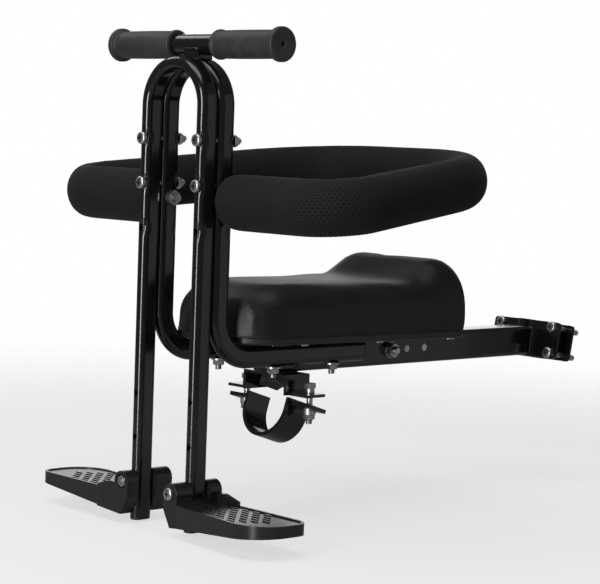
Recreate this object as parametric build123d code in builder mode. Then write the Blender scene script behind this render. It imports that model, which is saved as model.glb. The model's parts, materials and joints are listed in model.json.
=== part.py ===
"""Front child seat for a bicycle: arches, rails, handlebar, guard ring, saddle, beam, clamps and footrests.

Millimetres, +Z up, +Y to the rear of the bicycle, +X to the rider's left.
The origin lies on the seatpost's axis, at mid height of the seatpost clamp.
"""

import os
from math import cos, pi, radians, sin, sqrt, tan

from build123d import *

# Layout
arch_reach = 515.0
leg_spacing = 80.0
arch_top = 289.0
leg_drop = 154.0
rail_length = 202.0
bend_radius = 38.0

# Flat-oval tube of both arches
tube_depth = 21.0
tube_width = 12.5
tube_wall = 1.5
arch_gap = 0.2

# Bolt holes along the arches
top_hole_z = 211.0
hole_pitch = 42.5
pivot_drop = 118.0
used_rows = 2
hole_rows = 3

# Fits and gaps
hole_clearance = 0.25
thread_clearance = 0.05
slide_clearance = 0.3
pivot_clearance = 0.08
plug_clearance = 0.1
grip_clearance = 0.1
weld_gap = 0.05
soft_gap = 0.3
swing_gap = 0.5

# M6 and M8 hardware
m6_diameter = 6.0
m6_head_diameter = 12.0
m6_head_height = 3.8
m6_recess_width = 1.6
m6_recess_span = 6.6
m6_recess_depth = 1.9
m6_nut_flats = 10.0
m6_nut_height = 5.0
m6_washer_diameter = 15.0
m6_washer_height = 1.6
m8_diameter = 8.0
m8_flats = 13.0
m8_height = 6.0
m8_washer_diameter = 16.5
m8_washer_height = 1.6
nut_chamfer = 0.8
bolt_end = 4.5

# Plugs
plug_flange = 3.0
plug_depth = 12.0
plug_round = 1.2

# Handlebar
bar_diameter = 20.0
bar_wall = 1.5
bar_rise = 11.7
bar_half_length = 114.5
saddle_width = 20.0
saddle_depth = 18.0
saddle_skirt = 4.0
grip_inner_end = 30.0
grip_diameter = 26.5
grip_flange_diameter = 32.5
grip_flange_width = 6.0
grip_collar_width = 4.0
grip_collar_height = 1.0
grip_end_wall = 4.0
grip_end_hole = 6.0
grip_edge_round = 1.6

# Guard ring
guard_z = 154.5
guard_slope = 5.8
guard_front_half_width = 201.0
guard_rear_half_width = 127.0
guard_depth = 285.0
guard_front_radius = 40.0
guard_rear_radius = 115.0
guard_tube_diameter = 16.0
guard_tube_wall = 1.5
guard_pad_width = 45.0
guard_pad_height = 54.0
guard_pad_end = 1.5
guard_stud_plug = 14.0

# Seat pan and cushion
pan_front = 28.5
pan_length = 286.0
pan_front_half_width = 66.0
pan_rear_half_width = 91.0
pan_front_corner = 50.0
pan_rear_corner = 22.0
pan_thickness = 6.5
pan_edge_round = 2.4
pan_relief = 1.0
cushion_inset = 1.0
cushion_height = 50.0
cushion_shoulder = 24.0
nose_length = 50.0
nose_height = 30.0
nose_taper = 36.0
hump_height = 22.0
hump_length = 68.0
hump_rise = 46.0
hump_shoulder = 38.0
tail_length = 20.0
tail_height = 50.0
tail_taper = 12.0
cushion_steps = 4
clip_width = 9.0
clip_drop = 1.2
clip_reach = 10.0
clip_pitch = 94.0
clip_first = 70.0
clip_count = 3

# Seat bolts and cross plates
seat_bolt_front = 84.0
seat_bolt_pitch = 79.0
plate_length = 26.0
plate_overhang = 8.0
plate_thickness = 2.5
seat_bolt_head_diameter = 13.0
seat_bolt_head_height = 3.2

# Beam and the tube that slides in it
beam_width = 28.0
beam_height = 32.0
beam_wall = 2.0
beam_corner = 4.0
beam_front = 110.0
beam_bolt_from_front = 162.0
beam_hole_pitch = 26.5
beam_spare_holes = 2
slide_wall = 2.0
slide_overlap = 36.0
beam_end_gap = 3.0

# Seatpost clamp
post_diameter = 31.6
post_lean = 10.7
clamp_plate = 3.5
clamp_split = 19.5
clamp_width = 94.0
clamp_height = 40.0
clamp_bolt_spacing = 73.0
clamp_bolt_rows = 28.6
clamp_corner = 4.0
clamp_bolt_tail = 17.0

# Top-tube clamp
strap_reach = 126.0
top_tube_diameter = 54.0
top_tube_slope = 18.0
top_tube_drop = 54.0
bracket_length = 32.0
bracket_plate = 3.0
bracket_lug_drop = 20.0
bracket_lug_reach = 27.0
bracket_lug_length = 24.0
strap_thickness = 4.0
strap_width = 30.0
strap_arm = 12.0
strap_lug_level = 9.0
strap_lug_reach = 27.0
strap_lug_length = 24.0
strap_bolt_offset = 15.0
strap_bolt_lift = 5.0
spacer_diameter = 9.0
wedge_diameter = 13.0
wedge_drop = 4.5
tube_pad_length = 26.0
tube_pad_width = 36.0

# Footrests
rest_ear_outer_reach = 9.5
rest_ear_inner_reach = 10.0
rest_front_ear_width = 19.5
rest_rear_ear_width = 14.0
rest_nut_pocket_diameter = 13.5
rest_wall_offset = 7.0
rest_deck_drop = 9.5
rest_root_depth = 32.0
rest_length = 140.0
rest_tip_thickness = 11.0
rest_tip_front_round = 32.0
rest_tip_rear_round = 16.0
rest_front_bulge = 43.0
rest_bulge_at = 105.0
rest_front_tip = 38.0
rest_rear_tip = 18.0
rest_rear_root = 22.0
rest_bulge_round = 36.0
rest_rim_width = 2.6
rest_rim_height = 1.2
rest_skin = 3.5
rest_wall = 3.0
rest_root_web = 6.0
rest_rib_width = 2.5
rest_rib_pitch = 30.0
rest_rib_count = 3
shoulder_end = 38.0
shoulder_thickness = 5.0
shoulder_flat = 18.0
shoulder_high = 7.5
shoulder_low = 2.0
shoulder_round = 2.5
rest_chamfer_rise = 17.5
tread_length = 9.0
tread_width = 2.2
tread_height = 0.8
tread_row_pitch = 7.5
tread_rows = 7
tread_pitch = 15.0
tread_columns = 7
tread_start = 28.0
tread_middle = -10.0

# Derived places
leg_x = leg_spacing / 2
arch_y = -arch_reach
front_y = arch_y - arch_gap / 2 - tube_depth / 2
rear_y = arch_y + arch_gap / 2 + tube_depth / 2
front_face_y = front_y - tube_depth / 2
rear_face_y = rear_y + tube_depth / 2
spring_z = arch_top - tube_width / 2 - leg_x
rail_z = beam_height / 2 - tube_depth / 2
rail_bottom = rail_z - tube_depth / 2
rail_end_y = arch_y + rail_length
bend_top_z = rail_z + bend_radius
bar_z = arch_top + bar_rise
pivot_z = -pivot_drop
plate_bottom = beam_height / 2
pan_bottom = plate_bottom + plate_thickness
pan_top = pan_bottom + pan_thickness
pan_front_y = arch_y + pan_front
pan_rear_y = pan_front_y + pan_length
seat_bolt_ys = [arch_y + seat_bolt_front, arch_y + seat_bolt_front + seat_bolt_pitch]
beam_front_y = arch_y + beam_front
beam_bolt_y = beam_front_y + beam_bolt_from_front
saddle_outer_radius = post_diameter / 2 + clamp_plate
post_tilt = radians(post_lean)
beam_rear_y = -saddle_outer_radius / cos(post_tilt) - beam_height / 2 * tan(post_tilt) - beam_end_gap
strap_y = arch_y + strap_reach
m6_hole = m6_diameter / 2 + hole_clearance
m8_hole = m8_diameter / 2 + hole_clearance
sides = (1, -1)


def save(part, name):
    """Labels a finished piece and writes it as the node of that name."""
    part.label = name
    export_step(part, f"parts/{name}.step")


def tube_section():
    """Draws the flat-oval tube's wall in the active sketch, long side along the sketch's own y."""
    SlotOverall(tube_depth, tube_width, rotation=90)
    SlotOverall(tube_depth - 2 * tube_wall, tube_width - 2 * tube_wall, rotation=90, mode=Mode.SUBTRACT)


def plug_section():
    """Draws what fits inside the flat-oval tube in the active sketch."""
    inset = 2 * (tube_wall + plug_clearance)
    SlotOverall(tube_depth - inset, tube_width - inset, rotation=90)


def arch_line(bottom_z):
    """Draws an arch's centre line in the active line: up one leg, over the crown and down the other."""
    Line((-leg_x, bottom_z), (-leg_x, spring_z))
    ThreePointArc((-leg_x, spring_z), (0, spring_z + leg_x), (leg_x, spring_z))
    Line((leg_x, spring_z), (leg_x, bottom_z))


def pan_bolt(diameter, length, head_diameter, head_height, recess):
    """One cross-recessed bolt: its head stands above z = 0 and its shank hangs below."""
    with BuildPart() as bolt:
        Cylinder(head_diameter / 2, head_height, align=(Align.CENTER, Align.CENTER, Align.MIN))
        fillet(bolt.edges().sort_by(Axis.Z)[-1], head_height * 0.55)
        with BuildSketch(Plane.XY.offset(head_height)):
            Rectangle(recess, m6_recess_width)
            Rectangle(m6_recess_width, recess)
        extrude(amount=-m6_recess_depth, mode=Mode.SUBTRACT)
        Cylinder(diameter / 2, length, align=(Align.CENTER, Align.CENTER, Align.MAX))
        chamfer(bolt.edges().sort_by(Axis.Z)[0], diameter * 0.12)
    return bolt.part


def hex_bolt(diameter, length, flats, height):
    """One hexagon-head bolt: its head stands above z = 0 and its shank hangs below."""
    with BuildPart() as bolt:
        with BuildSketch(Plane.XY):
            RegularPolygon(flats / 2, 6, major_radius=False)
        extrude(amount=height)
        Cylinder(diameter / 2, length, align=(Align.CENTER, Align.CENTER, Align.MAX))
        chamfer(bolt.edges().sort_by(Axis.Z)[0], diameter * 0.12)
    return bolt.part


def hex_nut(diameter, flats, height):
    """One hexagon nut standing on z = 0, with its corners turned off at both faces."""
    with BuildPart() as nut:
        with BuildSketch(Plane.XY):
            RegularPolygon(flats / 2, 6, major_radius=False)
        extrude(amount=height)
        with BuildSketch(Plane.XZ):
            corner = flats / sqrt(3)
            with BuildLine():
                Polyline(
                    (0, 0),
                    (corner - nut_chamfer, 0),
                    (corner, nut_chamfer / 2),
                    (corner, height - nut_chamfer / 2),
                    (corner - nut_chamfer, height),
                    (0, height),
                    close=True,
                )
            make_face()
        revolve(axis=Axis.Z, mode=Mode.INTERSECT)
        Cylinder(
            diameter / 2 + thread_clearance,
            height,
            align=(Align.CENTER, Align.CENTER, Align.MIN),
            mode=Mode.SUBTRACT,
        )
    return nut.part


def flat_washer(diameter, outer_diameter, height):
    """One plain washer standing on z = 0."""
    with BuildPart() as washer:
        with BuildSketch(Plane.XY):
            Circle(outer_diameter / 2)
            Circle(diameter / 2 + hole_clearance, mode=Mode.SUBTRACT)
        extrude(amount=height)
    return washer.part


os.makedirs("parts", exist_ok=True)

upper_rows = [top_hole_z - row * hole_pitch for row in range(hole_rows)]
lower_rows = [pivot_z + row * hole_pitch for row in range(hole_rows)]
upper_holes = [(side * leg_x, z) for side in sides for z in upper_rows]
lower_holes = [(side * leg_x, z) for side in sides for z in lower_rows]
bolted_holes = [(side * leg_x, z) for side in sides for z in upper_rows[:used_rows]]

# Front arch: the footrest legs
with BuildPart() as front_arch:
    with BuildLine(Plane.XZ.offset(-front_y)) as front_line:
        arch_line(-leg_drop)
    with BuildSketch(Plane((-leg_x, front_y, -leg_drop))):
        tube_section()
    sweep(path=front_line.line)
    with BuildSketch(Plane.XZ.offset(-front_y)):
        with Locations(*upper_holes, *lower_holes):
            Circle(m6_hole)
    extrude(amount=tube_depth, both=True, mode=Mode.SUBTRACT)
save(front_arch.part, "front_arch")

# Rear arch: its legs bend back into the seat rails
with BuildPart() as rear_arch:
    with BuildLine(Plane.XZ.offset(-rear_y)) as rear_line:
        arch_line(bend_top_z)
    with BuildSketch(Plane((-leg_x, rear_y, bend_top_z))):
        tube_section()
    sweep(path=rear_line.line)
    for side in sides:
        with BuildLine(Plane.YZ.offset(side * leg_x)) as rail_line:
            JernArc((rear_y, bend_top_z), (0, -1), bend_radius, 90)
            Line((rear_y + bend_radius, rail_z), (rail_end_y, rail_z))
        with BuildSketch(Plane((side * leg_x, rear_y, bend_top_z), z_dir=(0, 0, -1))):
            tube_section()
        sweep(path=rail_line.line)
    with BuildSketch(Plane.XZ.offset(-rear_y)):
        with Locations(*upper_holes):
            Circle(m6_hole)
    extrude(amount=tube_depth, both=True, mode=Mode.SUBTRACT)
    with BuildSketch(Plane.YZ):
        with Locations((rear_y, guard_z)):
            Circle(m8_hole)
    extrude(amount=leg_spacing, both=True, mode=Mode.SUBTRACT)
    with BuildSketch(Plane.XY.offset(rail_z)):
        with Locations(*[(side * leg_x, y) for side in sides for y in seat_bolt_ys]):
            Circle(m6_hole)
    extrude(amount=tube_depth, both=True, mode=Mode.SUBTRACT)
save(rear_arch.part, "rear_arch")

# Plugs in the open ends of the legs, the rails and the beam
with BuildPart() as leg_plugs:
    for side in sides:
        with BuildSketch(Plane((side * leg_x, front_y, -leg_drop))):
            SlotOverall(tube_depth, tube_width, rotation=90)
        extrude(amount=-plug_flange)
        with BuildSketch(Plane((side * leg_x, front_y, -leg_drop))):
            plug_section()
        extrude(amount=plug_depth)
    fillet(leg_plugs.edges().group_by(Axis.Z)[0], plug_round)
save(leg_plugs.part, "leg_plugs")

with BuildPart() as rail_plugs:
    for side in sides:
        with BuildSketch(Plane((side * leg_x, rail_end_y, rail_z), x_dir=(1, 0, 0), z_dir=(0, -1, 0))):
            SlotOverall(tube_depth, tube_width, rotation=90)
        extrude(amount=-plug_flange)
        with BuildSketch(Plane((side * leg_x, rail_end_y, rail_z), x_dir=(1, 0, 0), z_dir=(0, -1, 0))):
            plug_section()
        extrude(amount=plug_depth)
    fillet(rail_plugs.edges().group_by(Axis.Y)[-1], plug_round)
save(rail_plugs.part, "rail_plugs")

with BuildPart() as beam_plug:
    with BuildSketch(Plane.XZ.offset(-beam_front_y)):
        RectangleRounded(beam_width, beam_height, beam_corner)
    extrude(amount=plug_flange)
    with BuildSketch(Plane.XZ.offset(-beam_front_y)):
        inset = 2 * (beam_wall + plug_clearance)
        RectangleRounded(beam_width - inset, beam_height - inset, beam_corner - beam_wall)
    extrude(amount=-plug_depth)
save(beam_plug.part, "beam_plug")

# Bolts and nuts that hold the arches together
arch_bolt = pan_bolt(
    m6_diameter,
    2 * tube_depth + arch_gap + m6_nut_height + bolt_end,
    m6_head_diameter,
    m6_head_height,
    m6_recess_span,
)
with BuildPart() as arch_bolts:
    with Locations(*[Plane((x, front_face_y, z), z_dir=(0, -1, 0)) for x, z in bolted_holes]):
        add(arch_bolt)
save(arch_bolts.part, "arch_bolts")

m6_nut = hex_nut(m6_diameter, m6_nut_flats, m6_nut_height)
with BuildPart() as arch_nuts:
    with Locations(*[Plane((x, rear_face_y, z), z_dir=(0, 1, 0)) for x, z in bolted_holes]):
        add(m6_nut)
save(arch_nuts.part, "arch_nuts")

# Handlebar tube on its saddle over the rear arch's crown
bar_axis = Axis((0, rear_y, bar_z), (1, 0, 0))
with BuildPart() as handlebar_tube:
    with BuildSketch(Plane.YZ):
        with Locations((rear_y, bar_z)):
            Circle(bar_diameter / 2)
            Circle(bar_diameter / 2 - bar_wall, mode=Mode.SUBTRACT)
    extrude(amount=bar_half_length, both=True)
save(handlebar_tube.part, "handlebar_tube")

with BuildPart() as handlebar_saddle:
    with BuildSketch(Plane.XZ.offset(-rear_y)):
        with Locations((0, arch_top - saddle_skirt)):
            Rectangle(saddle_width, bar_rise + saddle_skirt, align=(Align.CENTER, Align.MIN))
    extrude(amount=saddle_depth / 2, both=True)
    with BuildSketch(Plane.YZ):
        with Locations((rear_y, bar_z)):
            Circle(bar_diameter / 2 + weld_gap)
    extrude(amount=saddle_width, both=True, mode=Mode.SUBTRACT)
    with BuildLine(Plane.XZ.offset(-rear_y)) as crown_line:
        ThreePointArc((-leg_x, spring_z), (0, spring_z + leg_x), (leg_x, spring_z))
    with BuildSketch(Plane((-leg_x, rear_y, spring_z))):
        SlotOverall(tube_depth + 2 * weld_gap, tube_width + 2 * weld_gap, rotation=90)
    sweep(path=crown_line.line, mode=Mode.SUBTRACT)
save(handlebar_saddle.part, "handlebar_saddle")

# Rubber grips, closed at their outer ends round a small vent hole
grip_bore = bar_diameter / 2 + grip_clearance
grip_end_x = bar_half_length + grip_end_wall
grip_body = grip_diameter / 2
grip_collar = grip_body + grip_collar_height
for name, side in (("left_grip", 1), ("right_grip", -1)):
    with BuildPart() as grip:
        with BuildSketch(Plane((0, rear_y, bar_z), x_dir=(side, 0, 0), z_dir=(0, -side, 0))) as grip_profile:
            with BuildLine():
                Polyline(
                    (grip_inner_end, grip_bore),
                    (grip_inner_end, grip_collar),
                    (grip_inner_end + grip_collar_width, grip_collar),
                    (grip_inner_end + grip_collar_width, grip_body),
                    (grip_end_x - grip_flange_width, grip_body),
                    (grip_end_x - grip_flange_width, grip_flange_diameter / 2),
                    (grip_end_x, grip_flange_diameter / 2),
                    (grip_end_x, grip_end_hole / 2),
                    (bar_half_length + grip_clearance, grip_end_hole / 2),
                    (bar_half_length + grip_clearance, grip_bore),
                    close=True,
                )
            make_face()
            fillet(grip_profile.vertices().group_by(Axis.Y)[-1], grip_edge_round)
        revolve(axis=bar_axis)
    save(grip.part, name)

# Guard ring: a bent tube in a padded sleeve, held by a stud in each end
guard_tilt = radians(guard_slope)
guard_plane = Plane((0, rear_y, guard_z), x_dir=(1, 0, 0), z_dir=(0, -sin(guard_tilt), cos(guard_tilt)))
leg_outer_x = leg_x + tube_width / 2
leg_inner_x = leg_x - tube_width / 2
guard_radii = [guard_front_radius, guard_rear_radius, guard_rear_radius, guard_front_radius]


def guard_line(start_x):
    """Draws the ring's centre line in the active line, from one end round the back to the other."""
    FilletPolyline(
        (start_x, 0),
        (guard_front_half_width, 0),
        (guard_rear_half_width, guard_depth),
        (-guard_rear_half_width, guard_depth),
        (-guard_front_half_width, 0),
        (-start_x, 0),
        radius=guard_radii,
    )


def guard_section_plane(start_x):
    """The plane across the ring's centre line at its end, with its own y upward."""
    return Plane((start_x, rear_y, guard_z), x_dir=(0, cos(guard_tilt), sin(guard_tilt)), z_dir=(1, 0, 0))


guard_tube_start = leg_outer_x + weld_gap
with BuildPart() as guard_tube:
    with BuildLine(guard_plane) as guard_tube_line:
        guard_line(guard_tube_start)
    with BuildSketch(guard_section_plane(guard_tube_start)):
        Circle(guard_tube_diameter / 2)
        Circle(guard_tube_diameter / 2 - guard_tube_wall, mode=Mode.SUBTRACT)
    sweep(path=guard_tube_line.line)
save(guard_tube.part, "guard_tube")

guard_pad_start = leg_outer_x + guard_pad_end
with BuildPart() as guard_pad:
    with BuildLine(guard_plane) as guard_pad_line:
        guard_line(guard_pad_start)
    with BuildSketch(guard_section_plane(guard_pad_start)):
        Ellipse(guard_pad_width / 2, guard_pad_height / 2)
        Circle(guard_tube_diameter / 2 + soft_gap, mode=Mode.SUBTRACT)
    sweep(path=guard_pad_line.line)
save(guard_pad.part, "guard_pad")

stud_inner_x = leg_inner_x - m8_height - bolt_end
with BuildPart() as guard_studs:
    for side in sides:
        with BuildSketch(Plane((side * stud_inner_x, rear_y, guard_z), z_dir=(side, 0, 0))):
            Circle(m8_diameter / 2)
        extrude(amount=guard_tube_start - stud_inner_x)
        with BuildSketch(Plane((side * guard_tube_start, rear_y, guard_z), z_dir=(side, 0, 0))):
            Circle(guard_tube_diameter / 2 - guard_tube_wall - plug_clearance)
        extrude(amount=guard_stud_plug)
save(guard_studs.part, "guard_studs")

m8_nut = hex_nut(m8_diameter, m8_flats, m8_height)
with BuildPart() as guard_nuts:
    with Locations(*[Plane((side * leg_inner_x, rear_y, guard_z), z_dir=(-side, 0, 0)) for side in sides]):
        add(m8_nut)
save(guard_nuts.part, "guard_nuts")

# Seat pan on two cross plates, bolted through the rails
seat_bolt_places = [(side * leg_x, y) for side in sides for y in seat_bolt_ys]
with BuildPart() as cross_plates:
    with BuildSketch(Plane.XY.offset(plate_bottom)):
        with Locations(*[(0, y) for y in seat_bolt_ys]):
            RectangleRounded(leg_spacing + tube_width + 2 * plate_overhang, plate_length, plate_overhang / 2)
        with Locations(*seat_bolt_places):
            Circle(m6_hole, mode=Mode.SUBTRACT)
    extrude(amount=plate_thickness)
save(cross_plates.part, "cross_plates")

pan_corners = [
    (-pan_front_half_width, pan_front_y),
    (pan_front_half_width, pan_front_y),
    (pan_rear_half_width, pan_rear_y),
    (-pan_rear_half_width, pan_rear_y),
]


def pan_half_width(y):
    """Half the pan's width where its side runs straight."""
    flare = (pan_rear_half_width - pan_front_half_width) / pan_length
    return pan_front_half_width + flare * (y - pan_front_y)


bend_inner_radius = bend_radius - tube_depth / 2
bend_inner_drop = bend_top_z - pan_bottom
relief_end_y = rear_y + bend_radius - sqrt(bend_inner_radius**2 - bend_inner_drop**2) + pan_relief
with BuildPart() as seat_base:
    with BuildSketch(Plane.XY.offset(pan_bottom)) as pan_outline:
        with BuildLine():
            Polyline(*pan_corners, close=True)
        make_face()
        fillet(pan_outline.vertices().group_by(Axis.Y)[0], pan_front_corner)
        fillet(pan_outline.vertices().group_by(Axis.Y)[-1], pan_rear_corner)
    extrude(amount=pan_thickness)
    fillet(seat_base.edges().group_by(Axis.Z)[0], pan_edge_round)
    with BuildSketch(Plane.XY.offset(pan_bottom)):
        with Locations(*seat_bolt_places):
            Circle(m6_hole)
    extrude(amount=pan_thickness, mode=Mode.SUBTRACT)
    with BuildSketch(Plane.XY.offset(pan_top)):
        with Locations(*seat_bolt_places):
            Circle(seat_bolt_head_diameter / 2 + hole_clearance)
    extrude(amount=-seat_bolt_head_height, mode=Mode.SUBTRACT)
    with BuildSketch(Plane.XY.offset(pan_bottom)):
        with Locations(*[(side * leg_x, pan_front_y) for side in sides]):
            Rectangle(tube_width + 2 * pan_relief, 2 * (relief_end_y - pan_front_y))
    extrude(amount=pan_thickness, mode=Mode.SUBTRACT)
save(seat_base.part, "seat_base")

# Cushion: flat underneath, crowned across, with a raised back
cushion_front_y = pan_front_y + cushion_inset
cushion_rear_y = pan_rear_y - cushion_inset
hump_start_y = cushion_rear_y - hump_length
hump_full = cushion_height + hump_height
steps = [step / cushion_steps for step in range(cushion_steps + 1)]
round_off = [1 - sqrt(1 - (1 - step) ** 2) for step in steps]
rise = [(1 - cos(pi * step)) / 2 for step in steps]
cushion_stations = [
    (
        cushion_front_y + nose_length * step,
        nose_taper * share,
        cushion_height - (cushion_height - nose_height) * share,
        cushion_shoulder,
    )
    for step, share in zip(steps, round_off)
]
cushion_stations += [
    (
        hump_start_y + hump_rise * step,
        0,
        cushion_height + hump_height * share,
        cushion_shoulder + (hump_shoulder - cushion_shoulder) * share,
    )
    for step, share in zip(steps, rise)
]
cushion_stations += [
    (
        cushion_rear_y - tail_length * step,
        tail_taper * share,
        hump_full - (hump_full - tail_height) * share,
        hump_shoulder,
    )
    for step, share in zip(reversed(steps), reversed(round_off))
]
with BuildPart() as seat_cushion:
    for y, taper, height, shoulder in cushion_stations:
        width = 2 * (pan_half_width(y) - cushion_inset - taper)
        with BuildSketch(Plane.XZ.offset(-y)) as cushion_section:
            with Locations((0, pan_top)):
                Rectangle(width, height, align=(Align.CENTER, Align.MIN))
            fillet(cushion_section.vertices().group_by(Axis.Y)[-1], shoulder)
    loft(ruled=True)
save(seat_cushion.part, "seat_cushion")

clip_ys = [pan_front_y + clip_first + index * clip_pitch for index in range(clip_count)]
with BuildPart() as base_clips:
    for side in sides:
        for y in clip_ys:
            with BuildSketch(Plane.XY.offset(pan_bottom)):
                with Locations((side * (pan_half_width(y) - pan_edge_round - clip_reach / 2), y)):
                    RectangleRounded(clip_reach, clip_width, clip_drop)
            extrude(amount=-clip_drop)
save(base_clips.part, "base_clips")

seat_bolt = pan_bolt(
    m6_diameter,
    pan_top - seat_bolt_head_height - rail_bottom + m6_washer_height + m6_nut_height + bolt_end,
    seat_bolt_head_diameter,
    seat_bolt_head_height,
    m6_recess_span,
)
with BuildPart() as seat_bolts:
    with Locations(*[Plane((x, y, pan_top - seat_bolt_head_height)) for x, y in seat_bolt_places]):
        add(seat_bolt)
save(seat_bolts.part, "seat_bolts")

m6_washer = flat_washer(m6_diameter, m6_washer_diameter, m6_washer_height)
with BuildPart() as seat_washers:
    with Locations(*[Plane((x, y, rail_bottom), z_dir=(0, 0, -1)) for x, y in seat_bolt_places]):
        add(m6_washer)
save(seat_washers.part, "seat_washers")

seat_nut_z = rail_bottom - m6_washer_height
with BuildPart() as seat_nuts:
    with Locations(*[Plane((x, y, seat_nut_z), z_dir=(0, 0, -1)) for x, y in seat_bolt_places]):
        add(m6_nut)
save(seat_nuts.part, "seat_nuts")

# Beam under the seat, and the tube that slides in it from the seatpost
beam_holes = [beam_bolt_y + index * beam_hole_pitch for index in range(beam_spare_holes + 1)]
with BuildPart() as main_beam:
    with BuildSketch(Plane.XZ.offset(-beam_front_y)):
        RectangleRounded(beam_width, beam_height, beam_corner)
        RectangleRounded(
            beam_width - 2 * beam_wall,
            beam_height - 2 * beam_wall,
            beam_corner - beam_wall,
            mode=Mode.SUBTRACT,
        )
    extrude(amount=beam_front_y - beam_rear_y)
    with BuildSketch(Plane.YZ):
        with Locations(*[(y, 0) for y in beam_holes]):
            Circle(m8_hole)
    extrude(amount=beam_width, both=True, mode=Mode.SUBTRACT)
save(main_beam.part, "main_beam")

slide_width = beam_width - 2 * (beam_wall + slide_clearance)
slide_height = beam_height - 2 * (beam_wall + slide_clearance)
slide_front_y = beam_bolt_y - slide_overlap
slide_corner = beam_corner - beam_wall
with BuildPart() as slide_tube:
    with BuildSketch(Plane.XZ.offset(-slide_front_y)):
        RectangleRounded(slide_width, slide_height, slide_corner)
        RectangleRounded(
            slide_width - 2 * slide_wall,
            slide_height - 2 * slide_wall,
            slide_corner / 2,
            mode=Mode.SUBTRACT,
        )
    extrude(amount=slide_front_y)
    Cylinder(
        saddle_outer_radius + weld_gap,
        2 * clamp_height,
        rotation=(-post_lean, 0, 0),
        mode=Mode.SUBTRACT,
    )
    with BuildSketch(Plane.YZ):
        with Locations((beam_bolt_y, 0)):
            Circle(m8_hole)
    extrude(amount=beam_width, both=True, mode=Mode.SUBTRACT)
save(slide_tube.part, "slide_tube")

beam_side_x = beam_width / 2
beam_fastener = hex_bolt(
    m8_diameter,
    beam_width + 2 * m8_washer_height + m8_height + bolt_end,
    m8_flats,
    m8_height,
)
with BuildPart() as beam_bolt:
    with Locations(Plane((-beam_side_x - m8_washer_height, beam_bolt_y, 0), z_dir=(-1, 0, 0))):
        add(beam_fastener)
save(beam_bolt.part, "beam_bolt")

m8_washer = flat_washer(m8_diameter, m8_washer_diameter, m8_washer_height)
with BuildPart() as beam_washers:
    with Locations(*[Plane((side * beam_side_x, beam_bolt_y, 0), z_dir=(side, 0, 0)) for side in sides]):
        add(m8_washer)
save(beam_washers.part, "beam_washers")

with BuildPart() as beam_nut:
    with Locations(Plane((beam_side_x + m8_washer_height, beam_bolt_y, 0), z_dir=(1, 0, 0))):
        add(m8_nut)
save(beam_nut.part, "beam_nut")

# Seatpost clamp: two saddles with flat wings, square to the leaning post
post_up = (0, sin(post_tilt), cos(post_tilt))
post_forward = (0, -cos(post_tilt), sin(post_tilt))
post_rearward = (0, cos(post_tilt), -sin(post_tilt))
post_plane = Plane((0, 0, 0), x_dir=(1, 0, 0), z_dir=post_up)
wing_inner = clamp_split / 2
wing_outer = wing_inner + clamp_plate
clamp_places = [
    (side * clamp_bolt_spacing / 2, row * clamp_bolt_rows / 2) for side in sides for row in sides
]
for name, facing in (("post_clamp_front", -1), ("post_clamp_rear", 1)):
    with BuildPart() as post_clamp:
        with BuildSketch(post_plane):
            Circle(saddle_outer_radius)
            with Locations((0, facing * (wing_inner + wing_outer) / 2)):
                Rectangle(clamp_width, clamp_plate)
            Circle(post_diameter / 2, mode=Mode.SUBTRACT)
            with Locations((0, facing * wing_inner)):
                Rectangle(
                    2 * clamp_width,
                    2 * clamp_width,
                    align=(Align.CENTER, Align.MAX if facing > 0 else Align.MIN),
                    mode=Mode.SUBTRACT,
                )
        extrude(amount=clamp_height / 2, both=True)
        wing_corners = post_clamp.edges().filter_by(Axis((0, 0, 0), post_rearward))
        fillet(wing_corners.group_by(Axis.X)[0] + wing_corners.group_by(Axis.X)[-1], clamp_corner)
        with BuildSketch(Plane((0, 0, 0), x_dir=(1, 0, 0), z_dir=post_forward)):
            with Locations(*clamp_places):
                Circle(m6_hole)
        extrude(amount=clamp_width, both=True, mode=Mode.SUBTRACT)
    save(post_clamp.part, name)


def along_post(x, rearward, up):
    """A point given across, behind and along the leaning seatpost."""
    return (
        x,
        rearward * post_rearward[1] + up * post_up[1],
        rearward * post_rearward[2] + up * post_up[2],
    )


post_clamp_bolt = pan_bolt(
    m6_diameter,
    2 * wing_outer + clamp_bolt_tail,
    m6_head_diameter,
    m6_head_height,
    m6_recess_span,
)
with BuildPart() as post_clamp_bolts:
    with Locations(*[Plane(along_post(x, -wing_outer, up), z_dir=post_forward) for x, up in clamp_places]):
        add(post_clamp_bolt)
save(post_clamp_bolts.part, "post_clamp_bolts")

with BuildPart() as post_clamp_nuts:
    with Locations(*[Plane(along_post(x, wing_outer, up), z_dir=post_rearward) for x, up in clamp_places]):
        add(m6_nut)
save(post_clamp_nuts.part, "post_clamp_nuts")

# Top-tube clamp: a bracket under the beam and a strap round the tube
top_tube_radius = top_tube_diameter / 2
strap_tilt = radians(top_tube_slope)
tube_centre = (0, strap_y, -top_tube_drop)
strap_outer = top_tube_radius + strap_thickness
strap_plane = Plane(tube_centre, x_dir=(1, 0, 0), z_dir=(0, -cos(strap_tilt), sin(strap_tilt)))
strap_bolt_x = strap_outer + strap_bolt_offset
strap_bolt_y = strap_y + strap_lug_level * sin(strap_tilt)
bracket_top = -beam_height / 2
bracket_lug_bottom = bracket_top - bracket_lug_drop
bracket_lug_top = bracket_lug_bottom + bracket_plate
strap_bolt_places = [(side * strap_bolt_x, strap_bolt_y) for side in sides]

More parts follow.
